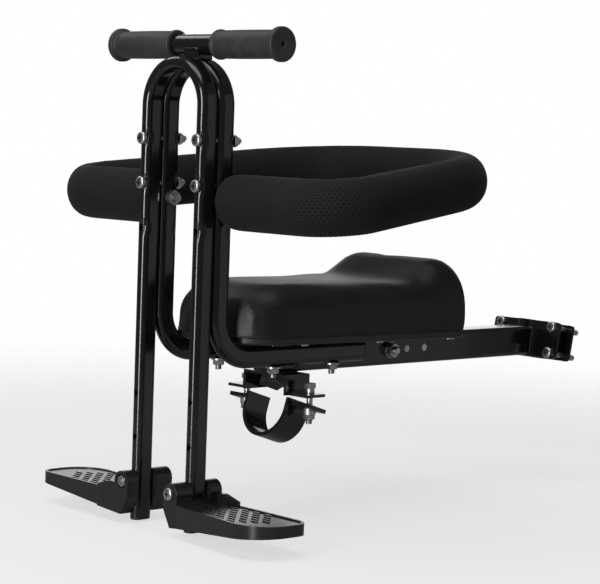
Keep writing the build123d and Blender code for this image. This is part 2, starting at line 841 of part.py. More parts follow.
with BuildPart() as tube_bracket:
    with BuildSketch(Plane.XZ.offset(-strap_y)):
        with Locations((0, bracket_top)):
            Rectangle(2 * strap_outer, bracket_lug_drop, align=(Align.CENTER, Align.MAX))
        with Locations((0, bracket_top - bracket_plate)):
            Rectangle(
                2 * (strap_outer - bracket_plate),
                bracket_lug_drop,
                align=(Align.CENTER, Align.MAX),
                mode=Mode.SUBTRACT,
            )
    extrude(amount=bracket_length / 2, both=True)
    with BuildSketch(Plane.XY.offset(bracket_lug_bottom)):
        for side in sides:
            with Locations((side * (strap_outer + bracket_lug_reach / 2 - bracket_plate / 2), strap_y)):
                Rectangle(bracket_lug_reach + bracket_plate, bracket_lug_length)
        with Locations(*strap_bolt_places):
            Circle(m6_hole, mode=Mode.SUBTRACT)
    extrude(amount=bracket_plate)
save(tube_bracket.part, "tube_bracket")

with BuildPart() as tube_strap:
    with BuildSketch(strap_plane):
        Circle(strap_outer)
        Circle(top_tube_radius, mode=Mode.SUBTRACT)
        Rectangle(
            2 * strap_outer,
            strap_outer,
            align=(Align.CENTER, Align.MIN),
            mode=Mode.SUBTRACT,
        )
        for side in sides:
            with Locations((side * (top_tube_radius + strap_thickness / 2), 0)):
                Rectangle(strap_thickness, strap_arm, align=(Align.CENTER, Align.MIN))
    extrude(amount=strap_width / 2, both=True)
    lug_x = strap_outer + (strap_lug_reach - strap_thickness) / 2
    with BuildSketch(strap_plane):
        with Locations(*[(side * lug_x, strap_lug_level) for side in sides]):
            Rectangle(strap_lug_reach + strap_thickness, strap_thickness, align=(Align.CENTER, Align.MAX))
    extrude(amount=strap_lug_length / 2, both=True)
    with BuildSketch(Plane.XY.offset(-top_tube_drop)):
        with Locations(*strap_bolt_places):
            Circle(m6_hole + hole_clearance)
    extrude(amount=top_tube_diameter, both=True, mode=Mode.SUBTRACT)
save(tube_strap.part, "tube_strap")

lug_under = strap_lug_level - strap_thickness
lug_under_point = (0, strap_y + lug_under * sin(strap_tilt), -top_tube_drop + lug_under * cos(strap_tilt))
lug_under_plane = Plane(lug_under_point, x_dir=(1, 0, 0), z_dir=(0, sin(strap_tilt), cos(strap_tilt)))
strap_nut_top = lug_under_point[2] - wedge_drop
with BuildPart() as strap_washers:
    with BuildSketch(Plane.XY.offset(strap_nut_top)):
        with Locations(*strap_bolt_places):
            Circle(wedge_diameter / 2)
            Circle(m6_hole, mode=Mode.SUBTRACT)
    extrude(amount=2 * wedge_drop)
    split(bisect_by=lug_under_plane, keep=Keep.BOTTOM)
save(strap_washers.part, "strap_washers")

with BuildPart() as strap_spacers:
    with BuildSketch(Plane.XY.offset(bracket_lug_top)):
        with Locations(*strap_bolt_places):
            Circle(spacer_diameter / 2)
            Circle(m6_hole, mode=Mode.SUBTRACT)
    extrude(amount=strap_bolt_lift)
save(strap_spacers.part, "strap_spacers")

strap_head_z = bracket_lug_top + strap_bolt_lift
strap_bolt = hex_bolt(
    m6_diameter,
    strap_head_z - strap_nut_top + m6_nut_height + bolt_end,
    m6_nut_flats,
    m6_nut_height,
)
with BuildPart() as strap_bolts:
    with Locations(*[Plane((x, y, strap_head_z)) for x, y in strap_bolt_places]):
        add(strap_bolt)
save(strap_bolts.part, "strap_bolts")

with BuildPart() as strap_nuts:
    with Locations(*[Plane((x, y, strap_nut_top), z_dir=(0, 0, -1)) for x, y in strap_bolt_places]):
        add(m6_nut)
save(strap_nuts.part, "strap_nuts")

with BuildPart() as tube_pad:
    with BuildSketch(strap_plane):
        Rectangle(tube_pad_width, top_tube_diameter, align=(Align.CENTER, Align.MIN))
        Circle(top_tube_radius, mode=Mode.SUBTRACT)
    extrude(amount=tube_pad_length / 2, both=True)
    split(bisect_by=Plane.XY.offset(bracket_top - bracket_plate), keep=Keep.BOTTOM)
save(tube_pad.part, "tube_pad")

# Folding footrests: one moulding, turned half round for the right leg
ear_inner = tube_depth / 2 + swing_gap
ear_front = ear_inner + rest_front_ear_width
ear_rear = ear_inner + rest_rear_ear_width
rest_leg_clear = tube_width / 2 + swing_gap
rest_span = 2 * (ear_front + ear_rear)
deck_z = pivot_z - rest_deck_drop
root_z = pivot_z - rest_root_depth
tip_x = leg_x + rest_length
tip_bottom_z = deck_z - rest_tip_thickness
pocket_x = leg_x + rest_ear_outer_reach + rest_root_web
deck_outline = [
    (leg_x - rest_ear_inner_reach, front_y - ear_front),
    (leg_x + rest_ear_outer_reach, front_y - ear_front),
    (leg_x + rest_bulge_at, front_y - rest_front_bulge),
    (tip_x, front_y - rest_front_tip),
    (tip_x, front_y + rest_rear_tip),
    (leg_x + shoulder_end, front_y + rest_rear_root),
    (leg_x + shoulder_end, front_y + ear_rear),
    (leg_x - rest_ear_inner_reach, front_y + ear_rear),
]
with BuildSketch() as deck_plan:
    Polygon(*deck_outline, align=None)
    fillet(deck_plan.vertices().group_by(Axis.X)[-1].sort_by(Axis.Y)[0], rest_tip_front_round)
    fillet(deck_plan.vertices().group_by(Axis.X)[-1].sort_by(Axis.Y)[-1], rest_tip_rear_round)
    bulge_corner = (leg_x + rest_bulge_at, front_y - rest_front_bulge)
    fillet(deck_plan.vertices().sort_by_distance(bulge_corner)[0], rest_bulge_round)

tread_places = []
for row in range(tread_rows):
    across = tread_middle + (row - (tread_rows - 1) / 2) * tread_row_pitch
    start = tread_start + tread_pitch / 2 * (row % 2)
    for column in range(tread_columns):
        along = start + column * tread_pitch
        if along + abs(across - tread_middle) < rest_length - rest_rear_tip:
            tread_places.append((leg_x + along, front_y + across))

with BuildPart() as left_footrest:
    with BuildSketch(Plane.XY.offset(deck_z)):
        add(deck_plan.sketch)
    extrude(amount=root_z - deck_z)
    with BuildSketch(Plane.XZ.offset(ear_front - front_y)):
        with Locations((leg_x, pivot_z)):
            Circle(rest_ear_inner_reach)
        with Locations((leg_x - rest_ear_inner_reach, pivot_z)):
            Rectangle(
                rest_ear_inner_reach + rest_ear_outer_reach,
                rest_deck_drop,
                align=(Align.MIN, Align.MAX),
            )
    extrude(amount=-ear_front - ear_rear)
    with BuildSketch(Plane.XZ.offset(-front_y - ear_rear)):
        Polygon(
            (leg_x, deck_z),
            (leg_x, deck_z + shoulder_high),
            (leg_x + shoulder_flat, deck_z + shoulder_high),
            (leg_x + shoulder_end, deck_z + shoulder_low),
            (leg_x + shoulder_end, deck_z),
            align=None,
        )
    extrude(amount=shoulder_thickness)
    shoulder_corner = (leg_x + shoulder_end, front_y + ear_rear, deck_z)
    fillet(left_footrest.edges().filter_by(Axis.Z).sort_by_distance(shoulder_corner)[0], shoulder_round)
    with BuildSketch(Plane.XZ.offset(-front_y)):
        Polygon(
            (leg_x, root_z),
            (tip_x, tip_bottom_z),
            (tip_x, root_z - rest_wall),
            (leg_x, root_z - rest_wall),
            align=None,
        )
        Polygon(
            (leg_x - rest_ear_inner_reach, root_z + rest_chamfer_rise),
            (leg_x, root_z),
            (leg_x - rest_ear_inner_reach, root_z),
            align=None,
        )
    extrude(amount=rest_span, both=True, mode=Mode.SUBTRACT)
    with BuildSketch(Plane.XY.offset(deck_z)):
        offset(deck_plan.sketch, amount=-rest_rim_width)
        with Locations((leg_x + rest_ear_outer_reach + rest_rim_width, front_y)):
            Rectangle(rest_length, rest_span, align=(Align.MAX, Align.CENTER), mode=Mode.SUBTRACT)
        with Locations((leg_x, front_y + ear_rear)):
            Rectangle(
                shoulder_end + rest_rim_width,
                shoulder_thickness + rest_rim_width,
                align=(Align.MIN, Align.MAX),
                mode=Mode.SUBTRACT,
            )
    extrude(amount=-rest_rim_height, mode=Mode.SUBTRACT)
    with BuildSketch(Plane.XY.offset(deck_z - rest_rim_height)):
        with Locations(*tread_places):
            SlotOverall(tread_length, tread_width)
    extrude(amount=tread_height)
    with BuildSketch(Plane.XY.offset(deck_z - rest_rim_height - rest_skin)):
        offset(deck_plan.sketch, amount=-rest_wall)
        with Locations((pocket_x, front_y)):
            Rectangle(rest_length, rest_span, align=(Align.MAX, Align.CENTER), mode=Mode.SUBTRACT)
        for index in range(rest_rib_count):
            with Locations((pocket_x + (index + 1) * rest_rib_pitch, front_y)):
                Rectangle(rest_rib_width, rest_span, mode=Mode.SUBTRACT)
    extrude(amount=-rest_root_depth, mode=Mode.SUBTRACT)
    with BuildSketch(Plane.XY.offset(pivot_z)):
        with Locations((leg_x + rest_wall_offset, front_y)):
            Rectangle(leg_x, 2 * ear_inner, align=(Align.MAX, Align.CENTER))
    extrude(amount=2 * rest_root_depth, both=True, mode=Mode.SUBTRACT)
    with BuildSketch(Plane.XZ.offset(-front_y)):
        with Locations((leg_x, pivot_z - rest_leg_clear)):
            Rectangle(rest_root_depth, rest_root_depth, align=(Align.MIN, Align.MIN))
    extrude(amount=ear_inner, both=True, mode=Mode.SUBTRACT)
    with BuildSketch(Plane.XZ.offset(-front_y)):
        with Locations((leg_x, pivot_z)):
            Circle(m6_diameter / 2 + pivot_clearance)
    extrude(amount=rest_span, both=True, mode=Mode.SUBTRACT)
    with BuildSketch(Plane.XZ.offset(-front_y - ear_rear)):
        with Locations((leg_x, pivot_z)):
            Circle(rest_nut_pocket_diameter / 2)
    extrude(amount=m6_nut_height + swing_gap, mode=Mode.SUBTRACT)
save(left_footrest.part, "left_footrest")

with BuildPart() as right_footrest:
    add(left_footrest.part.rotate(Axis((0, front_y, 0), (0, 0, 1)), 180))
save(right_footrest.part, "right_footrest")

rest_bolt = pan_bolt(
    m6_diameter,
    ear_front + swing_gap + ear_rear,
    m6_head_diameter,
    m6_head_height,
    m6_recess_span,
)
left_pivot = front_y - ear_front - swing_gap
right_pivot = front_y + ear_front + swing_gap
with BuildPart() as footrest_bolts:
    with Locations(Plane((leg_x, left_pivot, pivot_z), z_dir=(0, -1, 0))):
        add(rest_bolt)
    with Locations(Plane((-leg_x, right_pivot, pivot_z), z_dir=(0, 1, 0))):
        add(rest_bolt)
save(footrest_bolts.part, "footrest_bolts")

nut_seat = ear_rear - m6_nut_height
with BuildPart() as footrest_nuts:
    with Locations(Plane((leg_x, front_y + nut_seat, pivot_z), z_dir=(0, 1, 0))):
        add(m6_nut)
    with Locations(Plane((-leg_x, front_y - nut_seat, pivot_z), z_dir=(0, -1, 0))):
        add(m6_nut)
save(footrest_nuts.part, "footrest_nuts")
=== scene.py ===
"""Looks of a front child seat for a bicycle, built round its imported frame, in metres."""

import json
import logging
from dataclasses import dataclass, field
from enum import Enum
from math import atan2, cos, pi, radians, sin, sqrt, tan
from typing import Any, Iterable, Mapping, Sequence

import bmesh
import bpy
import numpy as np
from mathutils import Matrix, Vector
from mathutils.bvhtree import BVHTree


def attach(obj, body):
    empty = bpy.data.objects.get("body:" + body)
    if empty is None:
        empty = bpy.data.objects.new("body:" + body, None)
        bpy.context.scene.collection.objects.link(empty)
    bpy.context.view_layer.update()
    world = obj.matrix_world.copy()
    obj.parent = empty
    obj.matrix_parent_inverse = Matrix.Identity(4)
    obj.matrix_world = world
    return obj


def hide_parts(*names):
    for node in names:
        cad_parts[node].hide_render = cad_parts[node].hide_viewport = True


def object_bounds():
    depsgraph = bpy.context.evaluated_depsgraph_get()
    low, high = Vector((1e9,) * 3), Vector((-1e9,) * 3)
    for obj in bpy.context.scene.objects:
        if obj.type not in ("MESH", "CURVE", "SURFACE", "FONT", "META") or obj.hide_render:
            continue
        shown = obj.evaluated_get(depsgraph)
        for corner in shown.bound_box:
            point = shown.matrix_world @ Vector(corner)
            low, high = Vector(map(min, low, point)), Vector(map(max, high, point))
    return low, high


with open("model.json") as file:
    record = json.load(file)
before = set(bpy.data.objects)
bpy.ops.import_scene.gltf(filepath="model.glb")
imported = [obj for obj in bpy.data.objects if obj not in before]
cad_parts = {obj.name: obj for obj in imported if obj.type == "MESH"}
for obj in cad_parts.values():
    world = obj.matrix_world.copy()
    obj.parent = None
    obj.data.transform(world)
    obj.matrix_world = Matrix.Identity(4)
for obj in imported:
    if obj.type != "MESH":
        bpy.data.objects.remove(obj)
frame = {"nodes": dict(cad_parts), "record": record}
cad_low, cad_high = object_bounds()
log = logging.getLogger("child_seat")

Triple = tuple[float, float, float]
Face = tuple[int, ...]

# The body that every new piece rides on.
SEAT_BODY = "seat_frame"

# Places that several pieces share, and the seatpost's lean in degrees.
LEG_SIDE = 0.040
BAR_LEVEL = 0.3007
BAR_BACK = -0.5044
HOLE_LEVELS = (0.211, 0.1685, 0.126)
SEAT_BOLT_BACKS = (-0.431, -0.352)
POST_LEAN = 10.7

# How shapes are drawn: points in a bend, the rise from which a bar counts as steep, the steps
# that cloth takes, the crease angle that leaves no edge sharp, and a honeycomb's row height.
BEND_POINTS = 25
STEEP_RISE = 0.9
CLOTH_STEPS = 20
ALL_SMOOTH = 180.0
HONEYCOMB_RISE = sqrt(3.0)


class Slot(Enum):
    """The record's material slots."""

    COAT = "black_powder_coat"
    ZINC = "zinc_plate"
    RUBBER = "black_rubber"
    MESH = "black_mesh_fabric"
    LEATHER = "black_leatherette"
    PLASTIC = "black_plastic"
    FOOTREST = "footrest_plastic"


class Wire:
    """A node's output that takes part in Python sums."""

    def __init__(self, sheet: "NodeSheet", socket: bpy.types.NodeSocket) -> None:
        """Keeps the socket and the sheet that it is on."""
        self.sheet = sheet
        self.socket = socket

    def _sum(self, operation: str, *values: "Wire | float") -> "Wire":
        """The result of one Math node's operation on numbers or wires, in order."""
        return self.sheet.make("ShaderNodeMath", {"operation": operation}, dict(enumerate(values)))

    def __add__(self, other: "Wire | float") -> "Wire":
        """This plus the other."""
        return self._sum("ADD", self, other)

    def __radd__(self, other: float) -> "Wire":
        """The other plus this."""
        return self._sum("ADD", other, self)

    def __sub__(self, other: "Wire | float") -> "Wire":
        """This less the other."""
        return self._sum("SUBTRACT", self, other)

    def __rsub__(self, other: float) -> "Wire":
        """The other less this."""
        return self._sum("SUBTRACT", other, self)

    def __mul__(self, other: "Wire | float") -> "Wire":
        """This times the other."""
        return self._sum("MULTIPLY", self, other)

    def __rmul__(self, other: float) -> "Wire":
        """The other times this."""
        return self._sum("MULTIPLY", other, self)

    def __truediv__(self, other: "Wire | float") -> "Wire":
        """This over the other."""
        return self._sum("DIVIDE", self, other)

    def __rtruediv__(self, other: float) -> "Wire":
        """The other over this."""
        return self._sum("DIVIDE", other, self)

    def part(self) -> "Wire":
        """What is left over a whole number."""
        return self._sum("FRACT", self)

    def size(self) -> "Wire":
        """The value without its sign."""
        return self._sum("ABSOLUTE", self)

    def root(self) -> "Wire":
        """The square root."""
        return self._sum("SQRT", self)

    def bell(self) -> "Wire":
        """A bell curve of this value, 1 at nought."""
        return self._sum("EXPONENT", self * self * -1.0)

    def least(self, other: "Wire | float") -> "Wire":
        """The smaller of the two."""
        return self._sum("MINIMUM", self, other)

    def step(self, low: float, high: float) -> "Wire":
        """A smooth step.

        Args:
            low: where it leaves 0.
            high: where it reaches 1.

        Returns:
            A value from 0 to 1.
        """
        settings = {"interpolation_type": "SMOOTHSTEP", "clamp": True}
        sockets = {"Value": self, "From Min": low, "From Max": high}
        return self.sheet.make("ShaderNodeMapRange", settings, sockets)


class NodeSheet:
    """The nodes of one material."""

    def __init__(self, name: str) -> None:
        """Starts a material with its plain shader.

        Args:
            name: the material's name.
        """
        self.material = bpy.data.materials.new(name)
        self.material.use_nodes = True
        self.tree = self.material.node_tree
        self.shader = next(node for node in self.tree.nodes if node.type == "BSDF_PRINCIPLED")

    @staticmethod
    def _socket(sockets: Any, key: "str | int") -> bpy.types.NodeSocket:
        """Finds a socket.

        Args:
            sockets: a node's inputs or outputs.
            key: the socket's number, identifier or name.

        Returns:
            The socket.
        """
        if isinstance(key, str):
            for socket in sockets:
                if socket.identifier == key:
                    return socket
        return sockets[key]

    def feed(self, node: bpy.types.Node, key: "str | int", value: Any) -> None:
        """Links a wire to a node's input, or sets a value on it.

        Args:
            node: the node.
            key: the input's number, identifier or name.
            value: the wire, or the value.
        """
        socket = self._socket(node.inputs, key)
        if isinstance(value, Wire):
            self.tree.links.new(value.socket, socket)
        else:
            socket.default_value = value

    def make(
        self,
        kind: str,
        settings: Mapping[str, Any] | None = None,
        sockets: "Mapping[str | int, Any] | None" = None,
        output: "str | int" = 0,
    ) -> Wire:
        """Adds any node.

        Args:
            kind: the node's type.
            settings: what is set on the node itself, first.
            sockets: values or wires for its inputs.
            output: the output to hand back.

        Returns:
            That output.
        """
        node = self.tree.nodes.new(kind)
        for name, value in (settings or {}).items():
            setattr(node, name, value)
        for key, value in (sockets or {}).items():
            self.feed(node, key, value)
        return Wire(self, self._socket(node.outputs, output))

    def place(self) -> Wire:
        """Where a point of the surface is, in the piece's own frame."""
        return self.make("ShaderNodeTexCoord", output="Object")

    def along(self, vector: Wire, axis: str) -> Wire:
        """One coordinate, X, Y or Z, of a vector."""
        return self.make("ShaderNodeSeparateXYZ", sockets={"Vector": vector}, output=axis)

    def stretched(self, vector: Wire, factors: Triple) -> Wire:
        """A vector with each coordinate times its factor."""
        return self.make("ShaderNodeVectorMath", {"operation": "MULTIPLY"}, {0: vector, 1: factors})

    def noise(self, vector: Wire, scale: float, detail: float = 2.0) -> Wire:
        """Soft noise, from 0 to 1, with about that many blobs in a metre."""
        sockets = {"Vector": vector, "Scale": scale, "Detail": detail}
        return self.make("ShaderNodeTexNoise", sockets=sockets)

    def cells(self, vector: Wire, scale: float) -> Wire:
        """Distance to the middle of scattered cells, that many in a metre."""
        return self.make("ShaderNodeTexVoronoi", sockets={"Vector": vector, "Scale": scale})

    def tint(self, share: Wire, low: Triple, high: Triple) -> Wire:
        """A colour from the first, where the share is 0, to the second, where it is 1."""
        sockets = {"Factor_Float": share, "A_Color": (*low, 1.0), "B_Color": (*high, 1.0)}
        return self.make("ShaderNodeMix", {"data_type": "RGBA"}, sockets, "Result_Color")

    def bump(self, height: Wire) -> Wire:
        """The normal of a surface raised by a height in metres."""
        return self.make("ShaderNodeBump", sockets={"Distance": 1.0, "Height": height})

    def surface(self, sockets: Mapping[str, Any]) -> None:
        """Sets the shader's own sockets."""
        for key, value in sockets.items():
            self.feed(self.shader, key, value)


def shade(colour: Triple, share: float) -> Triple:
    """A colour made darker or lighter by a share."""
    return (colour[0] * share, colour[1] * share, colour[2] * share)


@dataclass(frozen=True)
class Finish:
    """What all finishes share: a name, a tone and a roughness."""

    name: str
    tone: Triple
    roughness: float

    def lay(self, sheet: NodeSheet) -> None:
        """Lays the finish's nodes on a sheet."""
        raise NotImplementedError

    def material(self) -> bpy.types.Material:
        """Makes the finish's material, once.

        Returns:
            The material.
        """
        made = bpy.data.materials.get(self.name)
        if made is None:
            sheet = NodeSheet(self.name)
            self.lay(sheet)
            made = sheet.material
        return made

    def dress(self, piece: bpy.types.Object) -> None:
        """Puts the finish on a piece."""
        piece.data.materials.clear()
        piece.data.materials.append(self.material())


@dataclass(frozen=True)
class PowderCoat(Finish):
    """Gloss black powder coat with orange peel, and shallow dents round a row of holes."""

    peel: float = 0.000004
    peel_scale: float = 300.0
    haze: float = 0.05
    haze_scale: float = 34.0
    dust: float = 0.35
    dust_scale: float = 900.0
    dust_lift: float = 4.0
    dent_levels: tuple[float, ...] = ()
    dent_column: float = LEG_SIDE
    dent_middle: float = -0.515
    dent_band: tuple[float, float] = (0.011, 0.019)
    dent_depth: float = 0.0030
    dent_spread: float = 0.0065

    def _dents(self, sheet: NodeSheet, place: Wire) -> Wire:
        """How deep the tube is dented.

        Args:
            sheet: the material's nodes.
            place: where a point of the surface is.

        Returns:
            The depth there, in metres.
        """
        across = (sheet.along(place, "X").size() - self.dent_column) / self.dent_spread
        level = sheet.along(place, "Z")
        rows = sum(((level - dent) / self.dent_spread).bell() for dent in self.dent_levels)
        face = (sheet.along(place, "Y") - self.dent_middle).size().step(*self.dent_band)
        return across.bell() * rows * face * self.dent_depth

    def lay(self, sheet: NodeSheet) -> None:
        """Lays peel, haze, dust and dents.

        Args:
            sheet: the material's nodes.
        """
        place = sheet.place()
        cloud = sheet.noise(place, self.haze_scale, 3.0)
        speck = sheet.noise(place, self.dust_scale, 2.0).step(0.62, 0.78) * cloud.step(0.45, 0.7)
        height = sheet.noise(place, self.peel_scale) * self.peel
        if self.dent_levels:
            height = height - self._dents(sheet, place)
        dusty = shade(self.tone, self.dust_lift)
        sheet.surface(
            {
                "Base Color": sheet.tint(speck * self.dust, self.tone, dusty),
                "Roughness": cloud * self.haze + self.roughness - self.haze / 2 + speck * 0.015,
                "Normal": sheet.bump(height),
                "Coat Weight": 0.35,
                "Coat Roughness": 0.06,
            }
        )


@dataclass(frozen=True)
class ZincPlate(Finish):
    """Bright zinc plate with fine turning marks, dull patches and painted shade in its corners."""

    mark: float = 0.000006
    mark_scale: float = 700.0
    mark_stretch: Triple = (1.0, 7.0, 7.0)
    patch_scale: float = 260.0
    speck_scale: float = 2600.0
    corner_shade_reach: float = 0.0022
    corner_shade_tone: float = 0.08

    def lay(self, sheet: NodeSheet) -> None:
        """Lays patches, marks, specks and painted shade in the corners.

        Args:
            sheet: the material's nodes.
        """
        place = sheet.place()
        patch = sheet.noise(place, self.patch_scale, 3.0)
        speck = sheet.noise(place, self.speck_scale, 2.0)
        lines = sheet.noise(sheet.stretched(place, self.mark_stretch), self.mark_scale)
        # Painted shade: the zinc's colour darkens where the occlusion node finds corners and
        # recesses; the dull patches add random tone.
        reach = {"Distance": self.corner_shade_reach}
        open_to_light = sheet.make("ShaderNodeAmbientOcclusion", {"samples": 8}, reach, "AO")
        unshaded_and_patchy = open_to_light.step(0.35, 0.9) * (patch.step(0.3, 0.75) * 0.3 + 0.7)
        sheet.surface(
            {
                "Base Color": sheet.tint(unshaded_and_patchy, shade(self.tone, self.corner_shade_tone), self.tone),
                "Metallic": 1.0,
                "Roughness": patch * 0.22 + speck * 0.08 + self.roughness - 0.15,
                "Normal": sheet.bump(lines * self.mark + speck * self.mark * 0.5),
            }
        )


@dataclass(frozen=True)
class Rubber(Finish):
    """Satin moulded rubber with a fine, slightly blotchy skin."""

    grain: float = 0.00002
    grain_scale: float = 1500.0
    hand_scale: float = 55.0

    def lay(self, sheet: NodeSheet) -> None:
        """Lays the skin's grain and handling marks.

        Args:
            sheet: the material's nodes.
        """
        place = sheet.place()
        grain = sheet.noise(place, self.grain_scale, 3.0)
        bloom = sheet.noise(place, self.hand_scale, 3.0).step(0.35, 0.75)
        sheet.surface(
            {
                "Base Color": sheet.tint(bloom, shade(self.tone, 0.85), shade(self.tone, 1.3)),
                "Roughness": bloom * 0.1 + grain * 0.12 + self.roughness - 0.1,
                "Normal": sheet.bump(grain * self.grain),
                "Sheen Weight": 0.05,
                "Sheen Roughness": 0.5,
            }
        )


@dataclass(frozen=True)
class AirMesh(Finish):
    """Knitted spacer mesh: a honeycomb of small open cells in soft yarn."""

    pitch: float = 0.0034
    depth: float = 0.00028
    yarn: float = 0.00006
    fuzz_scale: float = 2400.0
    patch_scale: float = 24.0

    def _cell(self, across: Wire, up: Wire) -> Wire:
        """Squared distance to the nearest middle of one square lattice.

        Args:
            across: place along the sleeve, in pitches.
            up: place round the sleeve, in rows.

        Returns:
            The distance squared, in pitches squared.
        """
        side = across.part() - 0.5
        rise = (up.part() - 0.5) * HONEYCOMB_RISE
        return side * side + rise * rise

    def lay(self, sheet: NodeSheet) -> None:
        """Lays the honeycomb over the sleeve's own lengths and turns, with painted shade in its
        open cells.

        Args:
            sheet: the material's nodes.
        """
        flat = sheet.make("ShaderNodeUVMap", {"uv_map": "weave"})
        across = sheet.along(flat, "X") / self.pitch
        up = sheet.along(flat, "Y") / (self.pitch * HONEYCOMB_RISE)
        near = self._cell(across, up).least(self._cell(across + 0.5, up + 0.5)).root()
        web = near.step(0.2, 0.46)
        place = sheet.place()
        fuzz = sheet.noise(place, self.fuzz_scale, 2.0)
        # Painted shade: the open cells are coloured darker than the yarn; the soft patches are
        # random tone.
        yarn_over_cell_shade = web * (sheet.noise(place, self.patch_scale, 2.0) * 0.5 + 0.65)
        sheet.surface(
            {
                "Base Color": sheet.tint(yarn_over_cell_shade, shade(self.tone, 0.5), shade(self.tone, 1.35)),
                "Roughness": self.roughness + fuzz * 0.12 - web * 0.1,
                "Normal": sheet.bump(web * self.depth + fuzz * self.yarn),
                "Specular IOR Level": 0.3,
                "Sheen Weight": 0.03,
                "Sheen Roughness": 0.45,
            }
        )


@dataclass(frozen=True)
class Leatherette(Finish):
    """Soft satin leather cloth with a pebbled grain and faint pull lines."""

    grain: float = 0.00009
    grain_scale: float = 820.0
    pore_scale: float = 2400.0
    crease_scale: float = 90.0
    crease_stretch: Triple = (1.0, 1.0, 2.5)
    rub_scale: float = 16.0

    def lay(self, sheet: NodeSheet) -> None:
        """Lays the grain, its pores, the pull lines and the rubbed places, with painted shade in
        the grain's grooves.

        Args:
            sheet: the material's nodes.
        """
        place = sheet.place()
        pebble = sheet.cells(place, self.grain_scale)
        pore = sheet.noise(place, self.pore_scale, 2.0)
        crease = sheet.noise(sheet.stretched(place, self.crease_stretch), self.crease_scale, 4.0)
        rubbed = sheet.noise(place, self.rub_scale, 2.0)
        height = (1.0 - pebble.step(0.1, 0.75)) * self.grain + pore * self.grain * 0.3
        # Painted shade: the pebbles' tops are coloured lighter and the grooves between them darker.
        top, shaded_groove = shade(self.tone, 1.15), shade(self.tone, 0.7)
        sheet.surface(
            {
                "Base Color": sheet.tint(pebble.step(0.35, 0.8), top, shaded_groove),
                "Roughness": rubbed * 0.1 + pebble * 0.08 + self.roughness - 0.1,
                "Normal": sheet.bump(height + crease * self.grain * 1.2),
            }
        )


@dataclass(frozen=True)
class MouldedPlastic(Finish):
    """Moulded plastic with a fine eroded texture and flow clouds."""

    texture: float = 0.000018
    texture_scale: float = 1800.0
    cloud_scale: float = 40.0
    scuff_scale: float = 170.0
    scuff_stretch: Triple = (1.0, 4.0, 1.0)

    def lay(self, sheet: NodeSheet) -> None:
        """Lays the mould's texture, clouds and scuffs.

        Args:
            sheet: the material's nodes.
        """
        place = sheet.place()
        fine = sheet.noise(place, self.texture_scale, 3.0)
        cloud = sheet.noise(place, self.cloud_scale, 3.0)
        scuff = sheet.noise(sheet.stretched(place, self.scuff_stretch), self.scuff_scale, 4.0)
        scuff = scuff.step(0.6, 0.74)
        worn = cloud * 0.6 + scuff * 0.4
        sheet.surface(
            {
                "Base Color": sheet.tint(worn, shade(self.tone, 0.8), shade(self.tone, 1.5)),
                "Roughness": cloud * 0.1 + scuff * 0.12 + self.roughness - 0.05,
                "Normal": sheet.bump(fine * self.texture),
            }
        )


@dataclass(frozen=True)
class FloorPaint(Finish):
    """Pale matt floor that fades out far from the seat."""

    cover: float = 0.36
    solid: float = 0.55
    gone: float = 1.7
    cloud_scale: float = 3.0

    def lay(self, sheet: NodeSheet) -> None:
        """Lays the paint and its fade.

        Args:
            sheet: the material's nodes.
        """
        place = sheet.place()
        east = sheet.along(place, "X")
        north = sheet.along(place, "Y")
        away = (east * east + north * north).root()
        cloud = sheet.noise(place, self.cloud_scale, 2.0)
        sheet.surface(
            {
                "Base Color": sheet.tint(cloud, shade(self.tone, 0.985), self.tone),
                "Roughness": cloud * 0.1 + self.roughness,
                "Alpha": (1.0 - away.step(self.solid, self.gone)) * self.cover,
                "Specular IOR Level": 0.1,
            }
        )


@dataclass(frozen=True)
class PaperGlow(Finish):
    """Evenly lit white backdrop paper."""

    def lay(self, sheet: NodeSheet) -> None:
        """Lays an even white glow.

        Args:
            sheet: the material's nodes.
        """
        sheet.surface(
            {
                "Base Color": (0.0, 0.0, 0.0, 1.0),
                "Emission Color": (*self.tone, 1.0),
                "Emission Strength": 1.0,
                "Roughness": self.roughness,
                "Specular IOR Level": 0.0,
            }
        )


COAT_BLACK = (0.006, 0.006, 0.0063)
FINISHES: dict[Slot, Finish] = {
    Slot.COAT: PowderCoat("gloss_powder_coat", COAT_BLACK, 0.17),
    Slot.ZINC: ZincPlate("bright_zinc", (0.72, 0.72, 0.71), 0.34),
    Slot.RUBBER: Rubber("grip_rubber", (0.029, 0.029, 0.0296), 0.56),
    Slot.MESH: AirMesh("air_mesh", (0.008, 0.008, 0.0083), 0.86),
    Slot.LEATHER: Leatherette("seat_leather", (0.006, 0.006, 0.0063), 0.46),
    Slot.PLASTIC: MouldedPlastic("pan_plastic", (0.017, 0.017, 0.0175), 0.42),
    Slot.FOOTREST: MouldedPlastic(
        "footrest_plastic", (0.009, 0.009, 0.0093), 0.34, texture=0.000010
    ),
}
DENTED_COAT = PowderCoat("dented_powder_coat", COAT_BLACK, 0.15, dent_levels=HOLE_LEVELS)
PALE_NYLON = MouldedPlastic("pale_nylon", (0.9, 0.9, 0.88), 0.4)


def link(piece: bpy.types.Object) -> bpy.types.Object:
    """Puts a new object in the scene."""
    bpy.context.scene.collection.objects.link(piece)
    return piece


def solid(
    name: str, points: np.ndarray, faces: Sequence[Face], crease: float = ALL_SMOOTH
) -> bpy.types.Object:
    """Makes a smooth mesh piece with its faces turned outward.

    Args:
        name: the piece's name.
        points: an array of points, in metres.
        faces: the faces as point numbers.
        crease: edges sharper than this many degrees stay sharp.

    Returns:
        The new object.
    """
    mesh = bpy.data.meshes.new(name)
    mesh.from_pydata(points.tolist(), [], faces)
    work = bmesh.new()
    work.from_mesh(mesh)
    bmesh.ops.recalc_face_normals(work, faces=work.faces)
    work.to_mesh(mesh)
    work.free()
    mesh.shade_smooth()
    mesh.set_sharp_from_angle(angle=radians(crease))
    return link(bpy.data.objects.new(name, mesh))


